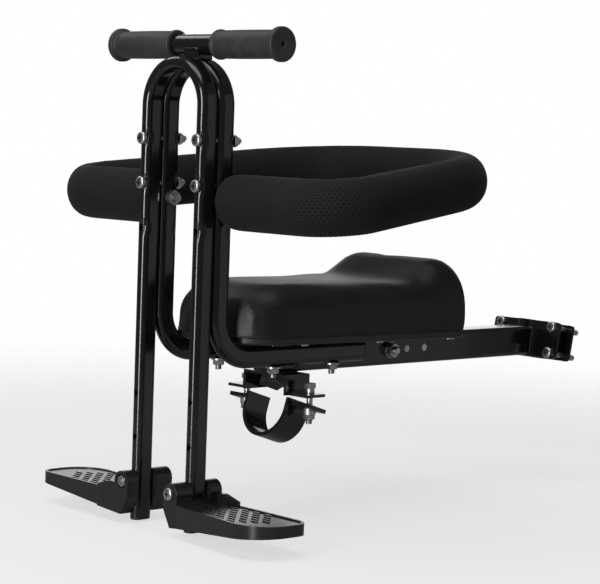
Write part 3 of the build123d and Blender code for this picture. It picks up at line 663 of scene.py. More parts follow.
def skin_faces(rows: int, count: int, first: int = 0, looped: bool = False) -> list[Face]:
    """Faces that join rings of points into a closed skin.

    Args:
        rows: how many rings there are.
        count: points in each ring.
        first: number of the first point.
        looped: whether the last ring joins the first one; if not, both are capped.

    Returns:
        The faces as point numbers.
    """
    faces: list[Face] = []
    for row in range(rows if looped else rows - 1):
        low = first + row * count
        high = first + (row + 1) % rows * count
        for step in range(count):
            ahead = (step + 1) % count
            faces.append((low + step, low + ahead, high + ahead, high + step))
    if not looped:
        faces.append(tuple(first + step for step in reversed(range(count))))
        faces.append(tuple(first + (rows - 1) * count + step for step in range(count)))
    return faces


@dataclass
class SkinPile:
    """Capped skins that are gathered into one piece."""

    points: list[np.ndarray] = field(default_factory=list)
    faces: list[Face] = field(default_factory=list)
    total: int = 0

    def add(self, rows: np.ndarray) -> None:
        """Adds one skin.

        Args:
            rows: an array of rings by points by coordinates.
        """
        rings, count = rows.shape[:2]
        self.faces += skin_faces(rings, count, self.total)
        self.points.append(rows.reshape(-1, 3))
        self.total += rings * count

    def piece(self, name: str, crease: float = ALL_SMOOTH) -> bpy.types.Object:
        """All the skins as one mesh piece of that name."""
        return solid(name, np.concatenate(self.points), self.faces, crease)


def spaced(points: np.ndarray, step: float) -> np.ndarray:
    """Points at even steps along a line of points.

    Args:
        points: the line's points.
        step: about how far apart the new points are.

    Returns:
        The new points, with the line's own ends.
    """
    reach = reach_along(points)
    count = max(3, int(round(reach[-1] / step)) + 1)
    stops = np.linspace(0.0, reach[-1], count)
    return np.stack([np.interp(stops, reach, column) for column in points.T], axis=1)


def reach_along(line: np.ndarray) -> np.ndarray:
    """Distance along a line of points, at each of them."""
    runs = np.linalg.norm(np.diff(line, axis=0), axis=1)
    return np.concatenate([[0.0], np.cumsum(runs)])


def ways_along(line: np.ndarray) -> np.ndarray:
    """Direction of a line of points, at each of them."""
    ways = np.gradient(line, axis=0)
    return ways / np.linalg.norm(ways, axis=1)[:, None]


def ring_angles(count: int) -> np.ndarray:
    """Even angles round a full turn."""
    return np.linspace(0.0, 2 * pi, count, endpoint=False)


def rounded(
    corners: Sequence[tuple[float, float]], radii: Sequence[float], closed: bool
) -> np.ndarray:
    """A flat line through corners, each rounded off by its radius.

    Args:
        corners: the corners, in order.
        radii: a radius for each corner that is rounded.
        closed: whether the line comes back to its start.

    Returns:
        The line's points, close together in the bends.
    """
    nodes = [Vector((x, y)) for x, y in corners]
    count = len(nodes)
    turns = range(count) if closed else range(1, count - 1)
    line: list[Vector] = [] if closed else [nodes[0]]
    for index, turn in enumerate(turns):
        here = nodes[turn]
        back = (nodes[turn - 1] - here).normalized()
        ahead = (nodes[(turn + 1) % count] - here).normalized()
        half = back.angle(ahead) / 2
        middle = here + (back + ahead).normalized() * (radii[index] / sin(half))
        begin = here + back * (radii[index] / tan(half))
        end = here + ahead * (radii[index] / tan(half))
        start_angle = atan2(begin.y - middle.y, begin.x - middle.x)
        swing = atan2(end.y - middle.y, end.x - middle.x) - start_angle
        swing = (swing + pi) % (2 * pi) - pi
        for share in np.linspace(0.0, 1.0, BEND_POINTS):
            angle = start_angle + swing * share
            line.append(middle + Vector((cos(angle), sin(angle))) * radii[index])
    line.append(line[0] if closed else nodes[-1])
    return np.array([(point.x, point.y) for point in line])


def tube_rows(line: np.ndarray, radii: np.ndarray, count: int) -> np.ndarray:
    """Rings of points round a line, for a round bar that follows it.

    Args:
        line: the points of the line.
        radii: the bar's radius at each of them.
        count: points in each ring.

    Returns:
        An array of rings by points by coordinates.
    """
    ways = ways_along(line)
    steep = abs(ways[0][2]) >= STEEP_RISE
    side = np.cross(ways[0], (1.0, 0.0, 0.0) if steep else (0.0, 0.0, 1.0))
    angles = ring_angles(count)
    rows = []
    for point, way, radius in zip(line, ways, radii):
        side = side - way * np.dot(side, way)
        side = side / np.linalg.norm(side)
        up = np.cross(way, side)
        spokes = np.outer(np.cos(angles), side) + np.outer(np.sin(angles), up)
        rows.append(point + radius * spokes)
    return np.array(rows)


def places_of(mesh: bpy.types.Mesh) -> np.ndarray:
    """Reads a mesh's points.

    Args:
        mesh: the mesh.

    Returns:
        The points as an array.
    """
    flat = np.zeros(len(mesh.vertices) * 3)
    mesh.vertices.foreach_get("co", flat)
    return flat.reshape(-1, 3)


def move_points(mesh: bpy.types.Mesh, points: np.ndarray) -> None:
    """Sets a mesh's points from an array."""
    mesh.vertices.foreach_set("co", points.ravel())
    mesh.update()


def swell(piece: bpy.types.Object, held: np.ndarray, pressure: float, cap: float) -> None:
    """Blows a cover up round its stuffing as cloth, and keeps the shape.

    Args:
        piece: the closed cover.
        held: numbers of the points that stay where they are.
        pressure: how hard the stuffing pushes.
        cap: how far a point may move, in metres.
    """
    scene = bpy.context.scene
    group = piece.vertex_groups.new(name="held")
    group.add([int(index) for index in held], 1.0, "REPLACE")
    cloth = piece.modifiers.new("swell", "CLOTH")
    cloth.settings.quality = 6
    cloth.settings.mass = 0.25
    cloth.settings.tension_stiffness = 12.0
    cloth.settings.compression_stiffness = 12.0
    cloth.settings.shear_stiffness = 6.0
    cloth.settings.bending_stiffness = 0.6
    cloth.settings.use_pressure = True
    cloth.settings.uniform_pressure_force = pressure
    cloth.settings.effector_weights.gravity = 0.0
    cloth.settings.vertex_group_mass = group.name
    cloth.collision_settings.use_collision = False
    cloth.point_cache.frame_start = 1
    cloth.point_cache.frame_end = CLOTH_STEPS
    before = places_of(piece.data)
    for step in range(1, CLOTH_STEPS + 1):
        scene.frame_set(step)
    grown = piece.evaluated_get(bpy.context.evaluated_depsgraph_get())
    after = places_of(grown.data)
    piece.modifiers.remove(cloth)
    piece.vertex_groups.clear()
    scene.frame_set(1)
    move = np.nan_to_num(after - before)
    reach = np.linalg.norm(move, axis=1)
    share = np.minimum(1.0, cap / np.maximum(reach, 1e-9))
    move_points(piece.data, before + move * share[:, None])
    log.info("%s swelled by %.1f mm at most", piece.name, 1000 * float((reach * share).max()))


def add_piece(piece: bpy.types.Object, slot: Slot, *stood_for: str) -> None:
    """Dresses a new piece and lets it ride on the seat's frame.

    Args:
        piece: the new piece.
        slot: the slot that gives its finish.
        stood_for: CAD nodes that it stands for.
    """
    FINISHES[slot].dress(piece)
    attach(piece, SEAT_BODY)
    if stood_for:
        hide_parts(*stood_for)
    log.info("%s: %d points on %s", piece.name, len(piece.data.vertices), SEAT_BODY)


@dataclass
class FrameTubes:
    """The coated frame: arches, handlebar, beam and clamps, with the weld beads that join them."""

    arches: tuple[str, ...] = ("front_arch", "rear_arch")
    bar_radius: float = 0.010
    saddle_half_width: float = 0.010
    saddle_half_depth: float = 0.009
    crown_level: float = 0.2869
    crown_drop: float = 0.0011
    beam_half_width: float = 0.014
    beam_half_height: float = 0.016
    plate_half: float = 0.013
    clamp_back: float = -0.389
    bracket_half: float = 0.016
    bracket_inset: float = 0.001
    post_radius: float = 0.0193
    slide_half_width: float = 0.0117
    slide_half_height: float = 0.0137
    slide_corner: float = 0.002
    bead: float = 0.0016
    bead_step: float = 0.0006
    bead_sides: int = 10
    bead_tip: float = 0.25
    ripple: float = 0.0021
    ripple_low: float = 0.82
    ripple_rise: float = 0.24

    def _bead(self, line: Sequence[Triple]) -> np.ndarray:
        """One weld bead along a line of points.

        Args:
            line: the points that the weld follows.

        Returns:
            The bead's rings of points.
        """
        path = spaced(np.array(line), self.bead_step)
        reach = np.linspace(0.0, len(path) * self.bead_step, len(path))
        scale = self.ripple_low + self.ripple_rise * np.abs(np.cos(pi * reach / self.ripple))
        ends = np.minimum(1.0, np.minimum(reach, reach[::-1]) / self.bead + self.bead_tip)
        return tube_rows(path, self.bead * scale * ends, self.bead_sides)

    def _slide_weld(self) -> list[Triple]:
        """The weld round the slide tube's end, on the seatpost clamp.

        Returns:
            The points that the weld follows.
        """
        lean = radians(POST_LEAN)
        wide, high = self.slide_half_width, self.slide_half_height
        corners = [(-wide, -high), (wide, -high), (wide, high), (-wide, high)]
        line = []
        for x, z in rounded(corners, [self.slide_corner] * len(corners), True):
            hollow = sqrt(self.post_radius**2 - x**2)
            line.append((x, (z * sin(lean) - hollow) / cos(lean) - self.bead / 3, z))
        return line

    def _weld_lines(self) -> Iterable[list[Triple]]:
        """The lines that the frame is welded along.

        Returns:
            The points that each weld follows.
        """
        half = self.saddle_half_width
        bar_foot = BAR_LEVEL - sqrt(self.bar_radius**2 - self.saddle_half_depth**2)
        top = self.beam_half_height
        for way in (1, -1):
            back = BAR_BACK + way * self.saddle_half_depth
            yield [(-half, back, bar_foot), (half, back, bar_foot)]
            yield [
                (half * share, back, self.crown_level - self.crown_drop * share**2)
                for share in (-1.0, -0.5, 0.0, 0.5, 1.0)
            ]
            edge = way * self.beam_half_width
            for plate in SEAT_BOLT_BACKS:
                yield [(edge, plate - self.plate_half, top), (edge, plate + self.plate_half, top)]
            inner = edge - way * self.bracket_inset
            yield [
                (inner, self.clamp_back - self.bracket_half, -top),
                (inner, self.clamp_back + self.bracket_half, -top),
            ]
        yield self._slide_weld()

    def welds(self) -> None:
        """Builds all the weld beads as one piece."""
        pile = SkinPile()
        for line in self._weld_lines():
            pile.add(self._bead(line))
        add_piece(pile.piece("weld_beads"), Slot.COAT)

    def dress(self) -> None:
        """Puts the dented coat on the drilled arches."""
        for name in self.arches:
            DENTED_COAT.dress(frame["nodes"][name])


@dataclass
class Thread:
    """One bolt's bare threaded end."""

    foot: Triple
    way: Triple
    length: float
    radius: float
    pitch: float = 0.001
    turn_steps: int = 18
    lead: float = 0.3
    flank: float = 0.45
    root: float = -0.0001
    crest: float = 0.00028

    def rows(self) -> np.ndarray:
        """Three points across the thread's ridge, all along it.

        Returns:
            An array of rings by points by coordinates.
        """
        axis = Vector(self.way).normalized()
        side = axis.orthogonal().normalized()
        up = axis.cross(side)
        ridge = ((-self.flank, self.root), (0.0, self.crest), (self.flank, self.root))
        rows = []
        for step in range(int(self.length / self.pitch * self.turn_steps) + 1):
            angle = 2 * pi * step / self.turn_steps
            out = side * cos(angle) + up * sin(angle)
            base = Vector(self.foot) + axis * (self.pitch * (step / self.turn_steps + self.lead))
            row = []
            for shift, reach in ridge:
                row.append(base + axis * (shift * self.pitch) + out * (self.radius + reach))
            rows.append([tuple(point) for point in row])
        return np.array(rows)


@dataclass
class Fasteners:
    """The threads that show on the ends of the zinc-plated bolts."""

    arch_levels: tuple[float, ...] = HOLE_LEVELS[:2]
    arch_back: float = -0.4889
    beam_side: float = 0.0216
    beam_back: float = -0.243
    clamp_half_width: float = 0.0365
    clamp_half_height: float = 0.0143
    clamp_behind: float = 0.01825
    strap_side: float = 0.046
    strap_back: float = -0.38622
    strap_level: float = -0.058745
    seat_level: float = -0.0116
    tail: float = 0.0042
    long_tail: float = 0.0115
    small: float = 0.003
    large: float = 0.004
    large_pitch: float = 0.00125
    crease: float = 40.0

    def threads(self) -> Iterable[Thread]:
        """Every bolt end that shows.

        Returns:
            The thread on each of them.
        """
        lean = radians(POST_LEAN)
        behind = (0.0, cos(lean), -sin(lean))
        down = (0.0, 0.0, -1.0)
        for side in (1, -1):
            for level in self.arch_levels:
                foot = (side * LEG_SIDE, self.arch_back, level)
                yield Thread(foot, (0.0, 1.0, 0.0), self.tail, self.small)
            foot = (side * self.strap_side, self.strap_back, self.strap_level)
            yield Thread(foot, down, self.tail, self.small)
            for back in SEAT_BOLT_BACKS:
                foot = (side * LEG_SIDE, back, self.seat_level)
                yield Thread(foot, down, self.tail, self.small)
            for row in (1, -1):
                up = row * self.clamp_half_height
                foot = (
                    side * self.clamp_half_width,
                    self.clamp_behind * cos(lean) + up * sin(lean),
                    -self.clamp_behind * sin(lean) + up * cos(lean),
                )
                yield Thread(foot, behind, self.long_tail, self.small)
        foot = (self.beam_side, self.beam_back, 0.0)
        yield Thread(foot, (1.0, 0.0, 0.0), self.tail, self.large, self.large_pitch)

    def build(self) -> None:
        """Builds all the threads as one piece."""
        pile = SkinPile()
        for thread in self.threads():
            pile.add(thread.rows())
        add_piece(pile.piece("bolt_threads", self.crease), Slot.ZINC)


@dataclass
class HolePlugs:
    """Pale domed plugs in the beam's spare holes."""

    backs: tuple[float, ...] = (-0.2165, -0.190)
    side: float = 0.0122
    radius: float = 0.00415
    dome: float = 0.0015
    rises: tuple[float, ...] = (0.0, 0.5, 0.8, 1.0, 1.05)
    widths: tuple[float, ...] = (1.0, 1.0, 0.9, 0.6, 0.2)
    count: int = 40
    crease: float = 60.0

    def _rows(self, way: int, back: float) -> np.ndarray:
        """One plug's rings of points, from its foot to its top.

        Args:
            way: 1 on the left side of the beam, -1 on the right.
            back: the hole's place along the beam.

        Returns:
            An array of rings by points by coordinates.
        """
        rows = []
        for rise, width in zip(self.rises, self.widths):
            out = way * (self.side + self.dome * rise)
            reach = self.radius * width
            rows.append(
                [(out, back + reach * cos(a), reach * sin(a)) for a in ring_angles(self.count)]
            )
        return np.array(rows)

    def build(self) -> None:
        """Builds the plugs of both sides as one piece."""
        pile = SkinPile()
        for way in (1, -1):
            for back in self.backs:
                pile.add(self._rows(way, back))
        piece = pile.piece("hole_plugs", self.crease)
        PALE_NYLON.dress(piece)
        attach(piece, SEAT_BODY)
        log.info("%s: %d points on %s", piece.name, len(piece.data.vertices), SEAT_BODY)


@dataclass
class Grip:
    """One moulded rubber grip, turned round the handlebar."""

    node: str
    side: int
    inner: float = 0.030
    outer: float = 0.1185
    bore: float = 0.0102
    body: float = 0.01325
    belly: float = 0.00025
    belly_points: int = 14
    collar: float = 0.01425
    flange: float = 0.01625
    vent: float = 0.0019
    count: int = 96
    crease: float = 50.0

    def profile(self) -> list[tuple[float, float]]:
        """The grip's half outline, from its inner end to its outer one.

        Returns:
            Places along the bar, each with a radius.
        """
        line = [
            (self.inner + 0.0002, self.bore),
            (self.inner, self.bore + 0.0008),
            (self.inner, self.collar - 0.0012),
            (self.inner + 0.0004, self.collar - 0.0003),
            (self.inner + 0.0012, self.collar),
            (self.inner + 0.0030, self.collar),
            (self.inner + 0.0037, self.collar - 0.0003),
            (self.inner + 0.0042, self.body + 0.0001),
            (self.inner + 0.0048, self.body - 0.0003),
            (self.inner + 0.0056, self.body - 0.0003),
            (self.inner + 0.0062, self.body),
        ]
        first = self.inner + 0.008
        last = self.outer - 0.0105
        for share in np.linspace(0.0, 1.0, self.belly_points):
            place = first + (last - first) * share
            line.append((place, self.body + self.belly * sin(pi * share)))
        line += [
            (self.outer - 0.0094, self.body - 0.0003),
            (self.outer - 0.0084, self.body - 0.0003),
            (self.outer - 0.0074, self.body + 0.0002),
            (self.outer - 0.0066, self.body + 0.0011),
            (self.outer - 0.0060, self.flange - 0.0007),
            (self.outer - 0.0054, self.flange - 0.0001),
            (self.outer - 0.0046, self.flange),
            (self.outer - 0.0016, self.flange),
            (self.outer - 0.0007, self.flange - 0.0004),
            (self.outer - 0.0001, self.flange - 0.0013),
            (self.outer, self.flange - 0.0022),
            (self.outer, self.vent + 0.0012),
            (self.outer - 0.0004, self.vent + 0.0003),
            (self.outer - 0.0010, self.vent),
            (self.outer - 0.0038, self.vent),
            (self.outer - 0.0039, self.bore),
        ]
        return line

    def build(self) -> None:
        """Turns the outline round the bar and stands it for the grip's solid."""
        angles = ring_angles(self.count)
        rows = [
            [(self.side * x, BAR_BACK + r * cos(a), BAR_LEVEL + r * sin(a)) for a in angles]
            for x, r in self.profile()
        ]
        faces = skin_faces(len(rows), self.count, looped=True)
        piece = solid(f"{self.node}_rubber", np.array(rows).reshape(-1, 3), faces, self.crease)
        add_piece(piece, Slot.RUBBER, self.node)


@dataclass
class GuardSleeve:
    """The padded mesh sleeve round the guard ring, with its seam and gathers."""

    front_half: float = 0.201
    rear_half: float = 0.127
    depth: float = 0.285
    front_radius: float = 0.040
    rear_radius: float = 0.115
    start: float = 0.0482
    level: float = 0.1545
    slope: float = 5.8
    half_width: float = 0.0225
    half_height: float = 0.027
    tube: float = 0.0084
    step: float = 0.0046
    count: int = 40
    slack: float = 0.975
    pressure: float = 6.0
    cap: float = 0.0014
    end_length: float = 0.022
    end_share: float = 0.30
    end_rings: int = 2
    end_draw: float = 0.72
    end_weave: float = 0.005
    fold_pitch: float = 0.0125
    fold_depth: float = 0.0017
    fold_bias: float = 0.9
    fold_turn: float = 24.0
    fold_focus: float = 1.3
    fold_rise: float = 1.4
    fold_blend: int = 9
    slow_share: float = 0.5
    slow_pitch: float = 2.3
    slow_phase: float = 1.1
    stitch: float = 0.0042
    stitch_margin: int = 5
    stitch_sides: int = 6
    stitch_shares: tuple[float, ...] = (0.12, 0.22, 0.5, 0.62, 0.72)
    stitch_widths: tuple[float, ...] = (0.3, 0.85, 1.0, 0.85, 0.3)
    seam_probe: float = 1.5
    lane: float = 0.0022
    yarn: float = 0.00035
    yarn_sunk: float = 0.35
    reach: np.ndarray = field(default_factory=lambda: np.zeros(0))

    def _lift(self, flat: np.ndarray) -> np.ndarray:
        """Lifts points from the ring's own plane into the seat's frame.

        Args:
            flat: points across and back in the ring's plane.

        Returns:
            The points in the seat's frame.
        """
        tilt = radians(self.slope)
        backs = BAR_BACK + flat[:, 1] * cos(tilt)
        levels = self.level + flat[:, 1] * sin(tilt)
        return np.stack([flat[:, 0], backs, levels], axis=1)

    def route(self) -> np.ndarray:
        """The ring's centre line.

        Returns:
            Evenly spaced points along it.
        """
        corners = [
            (self.start, 0.0),
            (self.front_half, 0.0),
            (self.rear_half, self.depth),
            (-self.rear_half, self.depth),
            (-self.front_half, 0.0),
            (-self.start, 0.0),
        ]
        radii = [self.front_radius, self.rear_radius, self.rear_radius, self.front_radius]
        return self._lift(spaced(rounded(corners, radii, False), self.step))

    def _axes(self, line: np.ndarray) -> tuple[np.ndarray, np.ndarray]:
        """Inward and upward directions along the centre line.

        Args:
            line: the centre line's points.

        Returns:
            The inward direction at each point, and the ring's upward direction.
        """
        tilt = radians(self.slope)
        up = np.array([0.0, -sin(tilt), cos(tilt)])
        return np.cross(up, ways_along(line)), up

    def _turns(self) -> np.ndarray:
        """Angles round the sleeve, from the seam under it."""
        return ring_angles(self.count) - pi / 2

    def _end_scale(self, reach: np.ndarray) -> np.ndarray:
        """How far the sleeve draws in towards its two ends.

        Args:
            reach: distance along the sleeve.

        Returns:
            A share of the full section at each place.
        """
        near = np.minimum(reach, reach[-1] - reach)
        gone = np.clip(1.0 - near / self.end_length, 0.0, 1.0)
        return 1.0 - self.end_share * (1.0 - np.sqrt(1.0 - gone**2))

    def rows(self, share: float) -> np.ndarray:
        """The sleeve's rings of points, from one drawn-in end to the other.

        Args:
            share: share of the full section that the sleeve starts from.

        Returns:
            An array of rings by points by coordinates.
        """
        line = self.route()
        inward, up = self._axes(line)
        self.reach = reach_along(line)
        scale = self._end_scale(self.reach) * share
        turns = self._turns()
        rows = []
        for point, side, size in zip(line, inward, scale):
            out = np.outer(np.cos(turns), side) * self.half_width * size
            rows.append(point + out + np.outer(np.sin(turns), up) * self.half_height * size)
        body = np.array(rows)
        ends = []
        for end, row in ((line[0], body[0]), (line[-1], body[-1])):
            spokes = row - end
            lengths = np.linalg.norm(spokes, axis=1)[:, None]
            ends.append([end + spokes * self.end_draw, end + spokes / lengths * self.tube])
        return np.concatenate([ends[0][::-1], body, ends[1]])

    def _lay_weave(self, mesh: bpy.types.Mesh, rows: int) -> None:
        """Gives the sleeve its lengths along and round, in metres.

        Args:
            mesh: the sleeve's mesh.
            rows: how many rings it has.
        """
        around = pi * (self.half_width + self.half_height)
        ends = self.end_weave * np.arange(1.0, self.end_rings + 1.0)
        reach = np.concatenate([-ends[::-1], self.reach, self.reach[-1] + ends])
        layer = mesh.uv_layers.new(name="weave")
        skin = (rows - 1) * self.count
        for face in mesh.polygons:
            turn = face.index % self.count if face.index < skin else 0
            for loop in face.loop_indices:
                row, place = divmod(mesh.loops[loop].vertex_index, self.count)
                if turn == self.count - 1 and place == 0:
                    place = self.count
                layer.data[loop].uv = (reach[row], around * place / self.count)

    def _fold(self, mesh: bpy.types.Mesh, rows: int) -> None:
        """Presses gathers into the inside of the four bends.

        Args:
            mesh: the sleeve's mesh.
            rows: how many rings it has.
        """
        points = places_of(mesh).reshape(rows, self.count, 3)
        line = self.route()
        bend = np.linalg.norm(np.gradient(ways_along(line), axis=0), axis=1) / self.step
        blend = np.full(self.fold_blend, 1 / self.fold_blend)
        bend = np.convolve(np.pad(bend, self.fold_blend // 2, mode="edge"), blend, mode="valid")
        inner = np.clip(np.cos(self._turns() - radians(self.fold_turn)), 0.0, 1.0)
        inner = inner**self.fold_focus
        for index, point in enumerate(line):
            wave = 2 * pi * self.reach[index]
            slow = sin(wave / (self.fold_pitch * self.slow_pitch) + self.slow_phase)
            ripple = sin(wave / self.fold_pitch) + self.slow_share * slow
            share = min(1.0, bend[index] * self.front_radius) ** self.fold_rise
            depth = self.fold_depth * share * (ripple - self.fold_bias)
            row = points[index + self.end_rings]
            out = (row - point) / np.linalg.norm(row - point, axis=1)[:, None]
            row += out * (depth * inner)[:, None]
        move_points(mesh, points.reshape(-1, 3))

    def _stitching(self, sleeve: bpy.types.Object) -> None:
        """Sews the seam under the ring with two rows of short stitches.

        Args:
            sleeve: the finished sleeve, which the stitches lie on.
        """
        skin = BVHTree.FromObject(sleeve, bpy.context.evaluated_depsgraph_get())
        line = spaced(self.route()[self.stitch_margin : -self.stitch_margin], self.stitch)
        inward, up = self._axes(line)
        widths = self.yarn * np.array(self.stitch_widths)
        pile = SkinPile()
        for lane in (-self.lane, self.lane):
            seam = []
            for point in line + inward * lane:
                below = Vector(point - up * self.half_height * self.seam_probe)
                hit = skin.ray_cast(below, Vector(up))[0]
                seam.append(np.array(hit) + up * self.yarn * self.yarn_sunk)
            for begin, end in zip(seam[:-1], seam[1:]):
                path = np.array([begin + (end - begin) * share for share in self.stitch_shares])
                pile.add(tube_rows(path, widths, self.stitch_sides))
        add_piece(pile.piece("sleeve_stitching"), Slot.LEATHER)

    def build(self) -> None:
        """Builds, swells, gathers and sews the sleeve."""
        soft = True
        rows = self.rows(self.slack if soft else 1.0)
        faces = skin_faces(len(rows), self.count)
        piece = solid("guard_sleeve", rows.reshape(-1, 3), faces)
        self._lay_weave(piece.data, len(rows))
        if soft:
            total = len(rows) * self.count
            first = np.arange((self.end_rings + 1) * self.count)
            seam = np.arange(0, total, self.count)
            held = np.unique(np.concatenate([first, total - 1 - first, seam]))
            swell(piece, held, self.pressure, self.cap)
        self._fold(piece.data, len(rows))
        piece.modifiers.new("soften", "SUBSURF").render_levels = 1
        add_piece(piece, Slot.MESH, "guard_pad")
        self._stitching(piece)


@dataclass
class SeatCushion:
    """The stuffed seat cushion and the welt round its foot."""

    voxel: float = 0.0045
    smoothing: int = 6
    last_smoothing: int = 4
    pulls: tuple[float, ...] = (0.5, -0.52)
    shrink: float = 0.0016
    pressure: float = 4.0
    cap: float = 0.0026
    fullness: float = 0.6
    crown_drop: float = 0.0075
    crown_reach: float = 0.050
    crown_back: float = -0.335
    crown_fade: float = 0.050
    pan_top: float = 0.025
    pan_gap: float = 0.0002
    foot: float = 0.004
    foot_flat: float = 0.35
    rim_inset: float = 0.0002
    rim_height: float = 0.016
    rim_start: float = 0.86
    rim_fade: float = 0.08
    front: float = -0.4865
    rear: float = -0.2005
    front_half: float = 0.066
    rear_half: float = 0.091
    front_corner: float = 0.050
    rear_corner: float = 0.022
    outline_step: float = 0.003
    welt: float = 0.0011
    welt_inset: float = 0.0009
    welt_sides: int = 10

    def _cover(self) -> bpy.types.Object:
        """Makes an even skin over the cushion's solid.

        Returns:
            The skin as a new object.
        """
        core = frame["nodes"]["seat_cushion"].data.copy()
        rough = link(bpy.data.objects.new("rough_cover", core))
        remesh = rough.modifiers.new("even", "REMESH")
        remesh.mode = "VOXEL"
        remesh.voxel_size = self.voxel
        evaluated = rough.evaluated_get(bpy.context.evaluated_depsgraph_get())
        mesh = bpy.data.meshes.new_from_object(evaluated)
        bpy.data.objects.remove(rough)
        mesh.name = "cushion_cover"
        mesh.materials.clear()
        mesh.shade_smooth()
        return link(bpy.data.objects.new("cushion_cover", mesh))

    def _smooth(self, mesh: bpy.types.Mesh, rounds: int) -> None:
        """Evens the skin out, in and out again, so that it doesn't shrink.

        Args:
            mesh: the cover's mesh.
            rounds: how many times.
        """
        points = places_of(mesh)
        edges = np.zeros(len(mesh.edges) * 2, dtype=int)
        mesh.edges.foreach_get("vertices", edges)
        ends = edges.reshape(-1, 2)
        count = np.bincount(edges, minlength=len(points)).astype(float)[:, None]
        for _ in range(rounds):
            for pull in self.pulls:
                total = np.zeros_like(points)
                np.add.at(total, ends[:, 0], points[ends[:, 1]])
                np.add.at(total, ends[:, 1], points[ends[:, 0]])
                points = points + (total / np.maximum(count, 1.0) - points) * pull
        move_points(mesh, points)

    def _rim_share(self, points: np.ndarray) -> tuple[np.ndarray, np.ndarray, np.ndarray]:
        """How far out the points are, beside the pan's edge in the same direction.

        Args:
            points: the cover's points.

        Returns:
            Their outward directions, their distances from the middle, and the edge's distances.
        """
        middle = np.array([0.0, (self.front + self.rear) / 2])
        away = points[:, :2] - middle
        reach = np.maximum(np.linalg.norm(away, axis=1), 1e-6)
        edge = self._outline(self.rim_inset) - middle
        turns = np.arctan2(edge[:, 1], edge[:, 0])
        order = np.argsort(turns)
        radii = np.linalg.norm(edge, axis=1)[order]
        rim = np.interp(np.arctan2(away[:, 1], away[:, 0]), turns[order], radii, period=2 * pi)
        return away / reach[:, None], reach, rim

    def _fill(self, mesh: bpy.types.Mesh) -> None:
        """Draws the cover back out towards the cushion's solid.

        Args:
            mesh: the cover's mesh.
        """
        core = frame["nodes"]["seat_cushion"]
        tree = BVHTree.FromObject(core, bpy.context.evaluated_depsgraph_get())
        points = places_of(mesh)
        near = np.array([tree.find_nearest(Vector(point))[0] for point in points])
        move_points(mesh, points + (near - points) * self.fullness)

    def _crown(self, mesh: bpy.types.Mesh) -> None:
        """Rolls the top over towards its edge, ahead of the raised back.

        Args:
            mesh: the cover's mesh.
        """
        points = places_of(mesh)
        _, reach, rim = self._rim_share(points)
        edge = np.clip(1.0 - (rim - reach) / self.crown_reach, 0.0, 1.0)
        rise = np.clip((points[:, 2] - self.pan_top) / self.crown_reach, 0.0, 1.0)
        ahead = np.clip((self.crown_back - points[:, 1]) / self.crown_fade + 1.0, 0.0, 1.0)
        points[:, 2] -= self.crown_drop * edge**2 * rise * ahead**2 * (3 - 2 * ahead)
        move_points(mesh, points)

    def _draw_in(self, mesh: bpy.types.Mesh) -> None:
        """Draws the whole skin in a little, before it swells.

        Args:
            mesh: the cover's mesh.
        """
        normals = np.zeros(len(mesh.vertices) * 3)
        mesh.vertices.foreach_get("normal", normals)
        move_points(mesh, places_of(mesh) - normals.reshape(-1, 3) * self.shrink)

    def _settle(self, mesh: bpy.types.Mesh) -> None:
        """Sits the cushion flat on its pan and draws its foot out to the pan's edge.

        Args:
            mesh: the cover's mesh.
        """
        points = places_of(mesh)
        outward, reach, rim = self._rim_share(points)
        rise = np.clip((points[:, 2] - self.pan_top) / self.rim_height, 0.0, 1.0)
        pull = np.clip((reach / rim - self.rim_start) / self.rim_fade, 0.0, 1.0)
        pull = (1 - rise) ** 2 * pull
        points[:, :2] += outward * ((rim - reach) * pull)[:, None]
        low = points[:, 2] < self.pan_top + self.foot * self.foot_flat
        points[low, 2] = self.pan_top + self.pan_gap
        move_points(mesh, points)

    def _outline(self, inset: float) -> np.ndarray:
        """The pan's outline, drawn in.

        Args:
            inset: how far inside the pan's edge.

        Returns:
            Evenly spaced points round the outline.
        """
        corners = [
            (-self.front_half + inset, self.front + inset),
            (self.front_half - inset, self.front + inset),
            (self.rear_half - inset, self.rear - inset),
            (-self.rear_half + inset, self.rear - inset),
        ]
        radii = [self.front_corner, self.front_corner, self.rear_corner, self.rear_corner]
        line = rounded(corners, [radius - inset for radius in radii], True)
        return spaced(line, self.outline_step)

    def _piping(self) -> None:
        """Lays the welt where the cover meets the pan."""
        flat = self._outline(self.welt_inset)
        line = np.column_stack([flat, np.full(len(flat), self.pan_top + self.welt)])
        rows = tube_rows(line, np.full(len(line), self.welt), self.welt_sides)[:-1]
        faces = skin_faces(len(rows), self.welt_sides, looped=True)
        piece = solid("cushion_welt", rows.reshape(-1, 3), faces)
        add_piece(piece, Slot.LEATHER)

    def build(self) -> None:
        """Builds, swells and seats the cushion."""
        piece = self._cover()
        self._smooth(piece.data, self.smoothing)
        self._draw_in(piece.data)
        held = np.nonzero(places_of(piece.data)[:, 2] < self.pan_top + self.foot)[0]
        swell(piece, held, self.pressure, self.cap)
        self._fill(piece.data)
        self._crown(piece.data)
        self._smooth(piece.data, self.last_smoothing)
        self._settle(piece.data)
        piece.modifiers.new("soften", "SUBSURF").render_levels = 1
        add_piece(piece, Slot.LEATHER, "seat_cushion")
        self._piping()


def toward(azimuth: float, elevation: float) -> Vector:
    """The direction to a place round the seat, by its angles in degrees."""
    turn, lift = radians(azimuth), radians(elevation)
    return Vector((sin(turn) * cos(lift), -cos(turn) * cos(lift), sin(lift)))


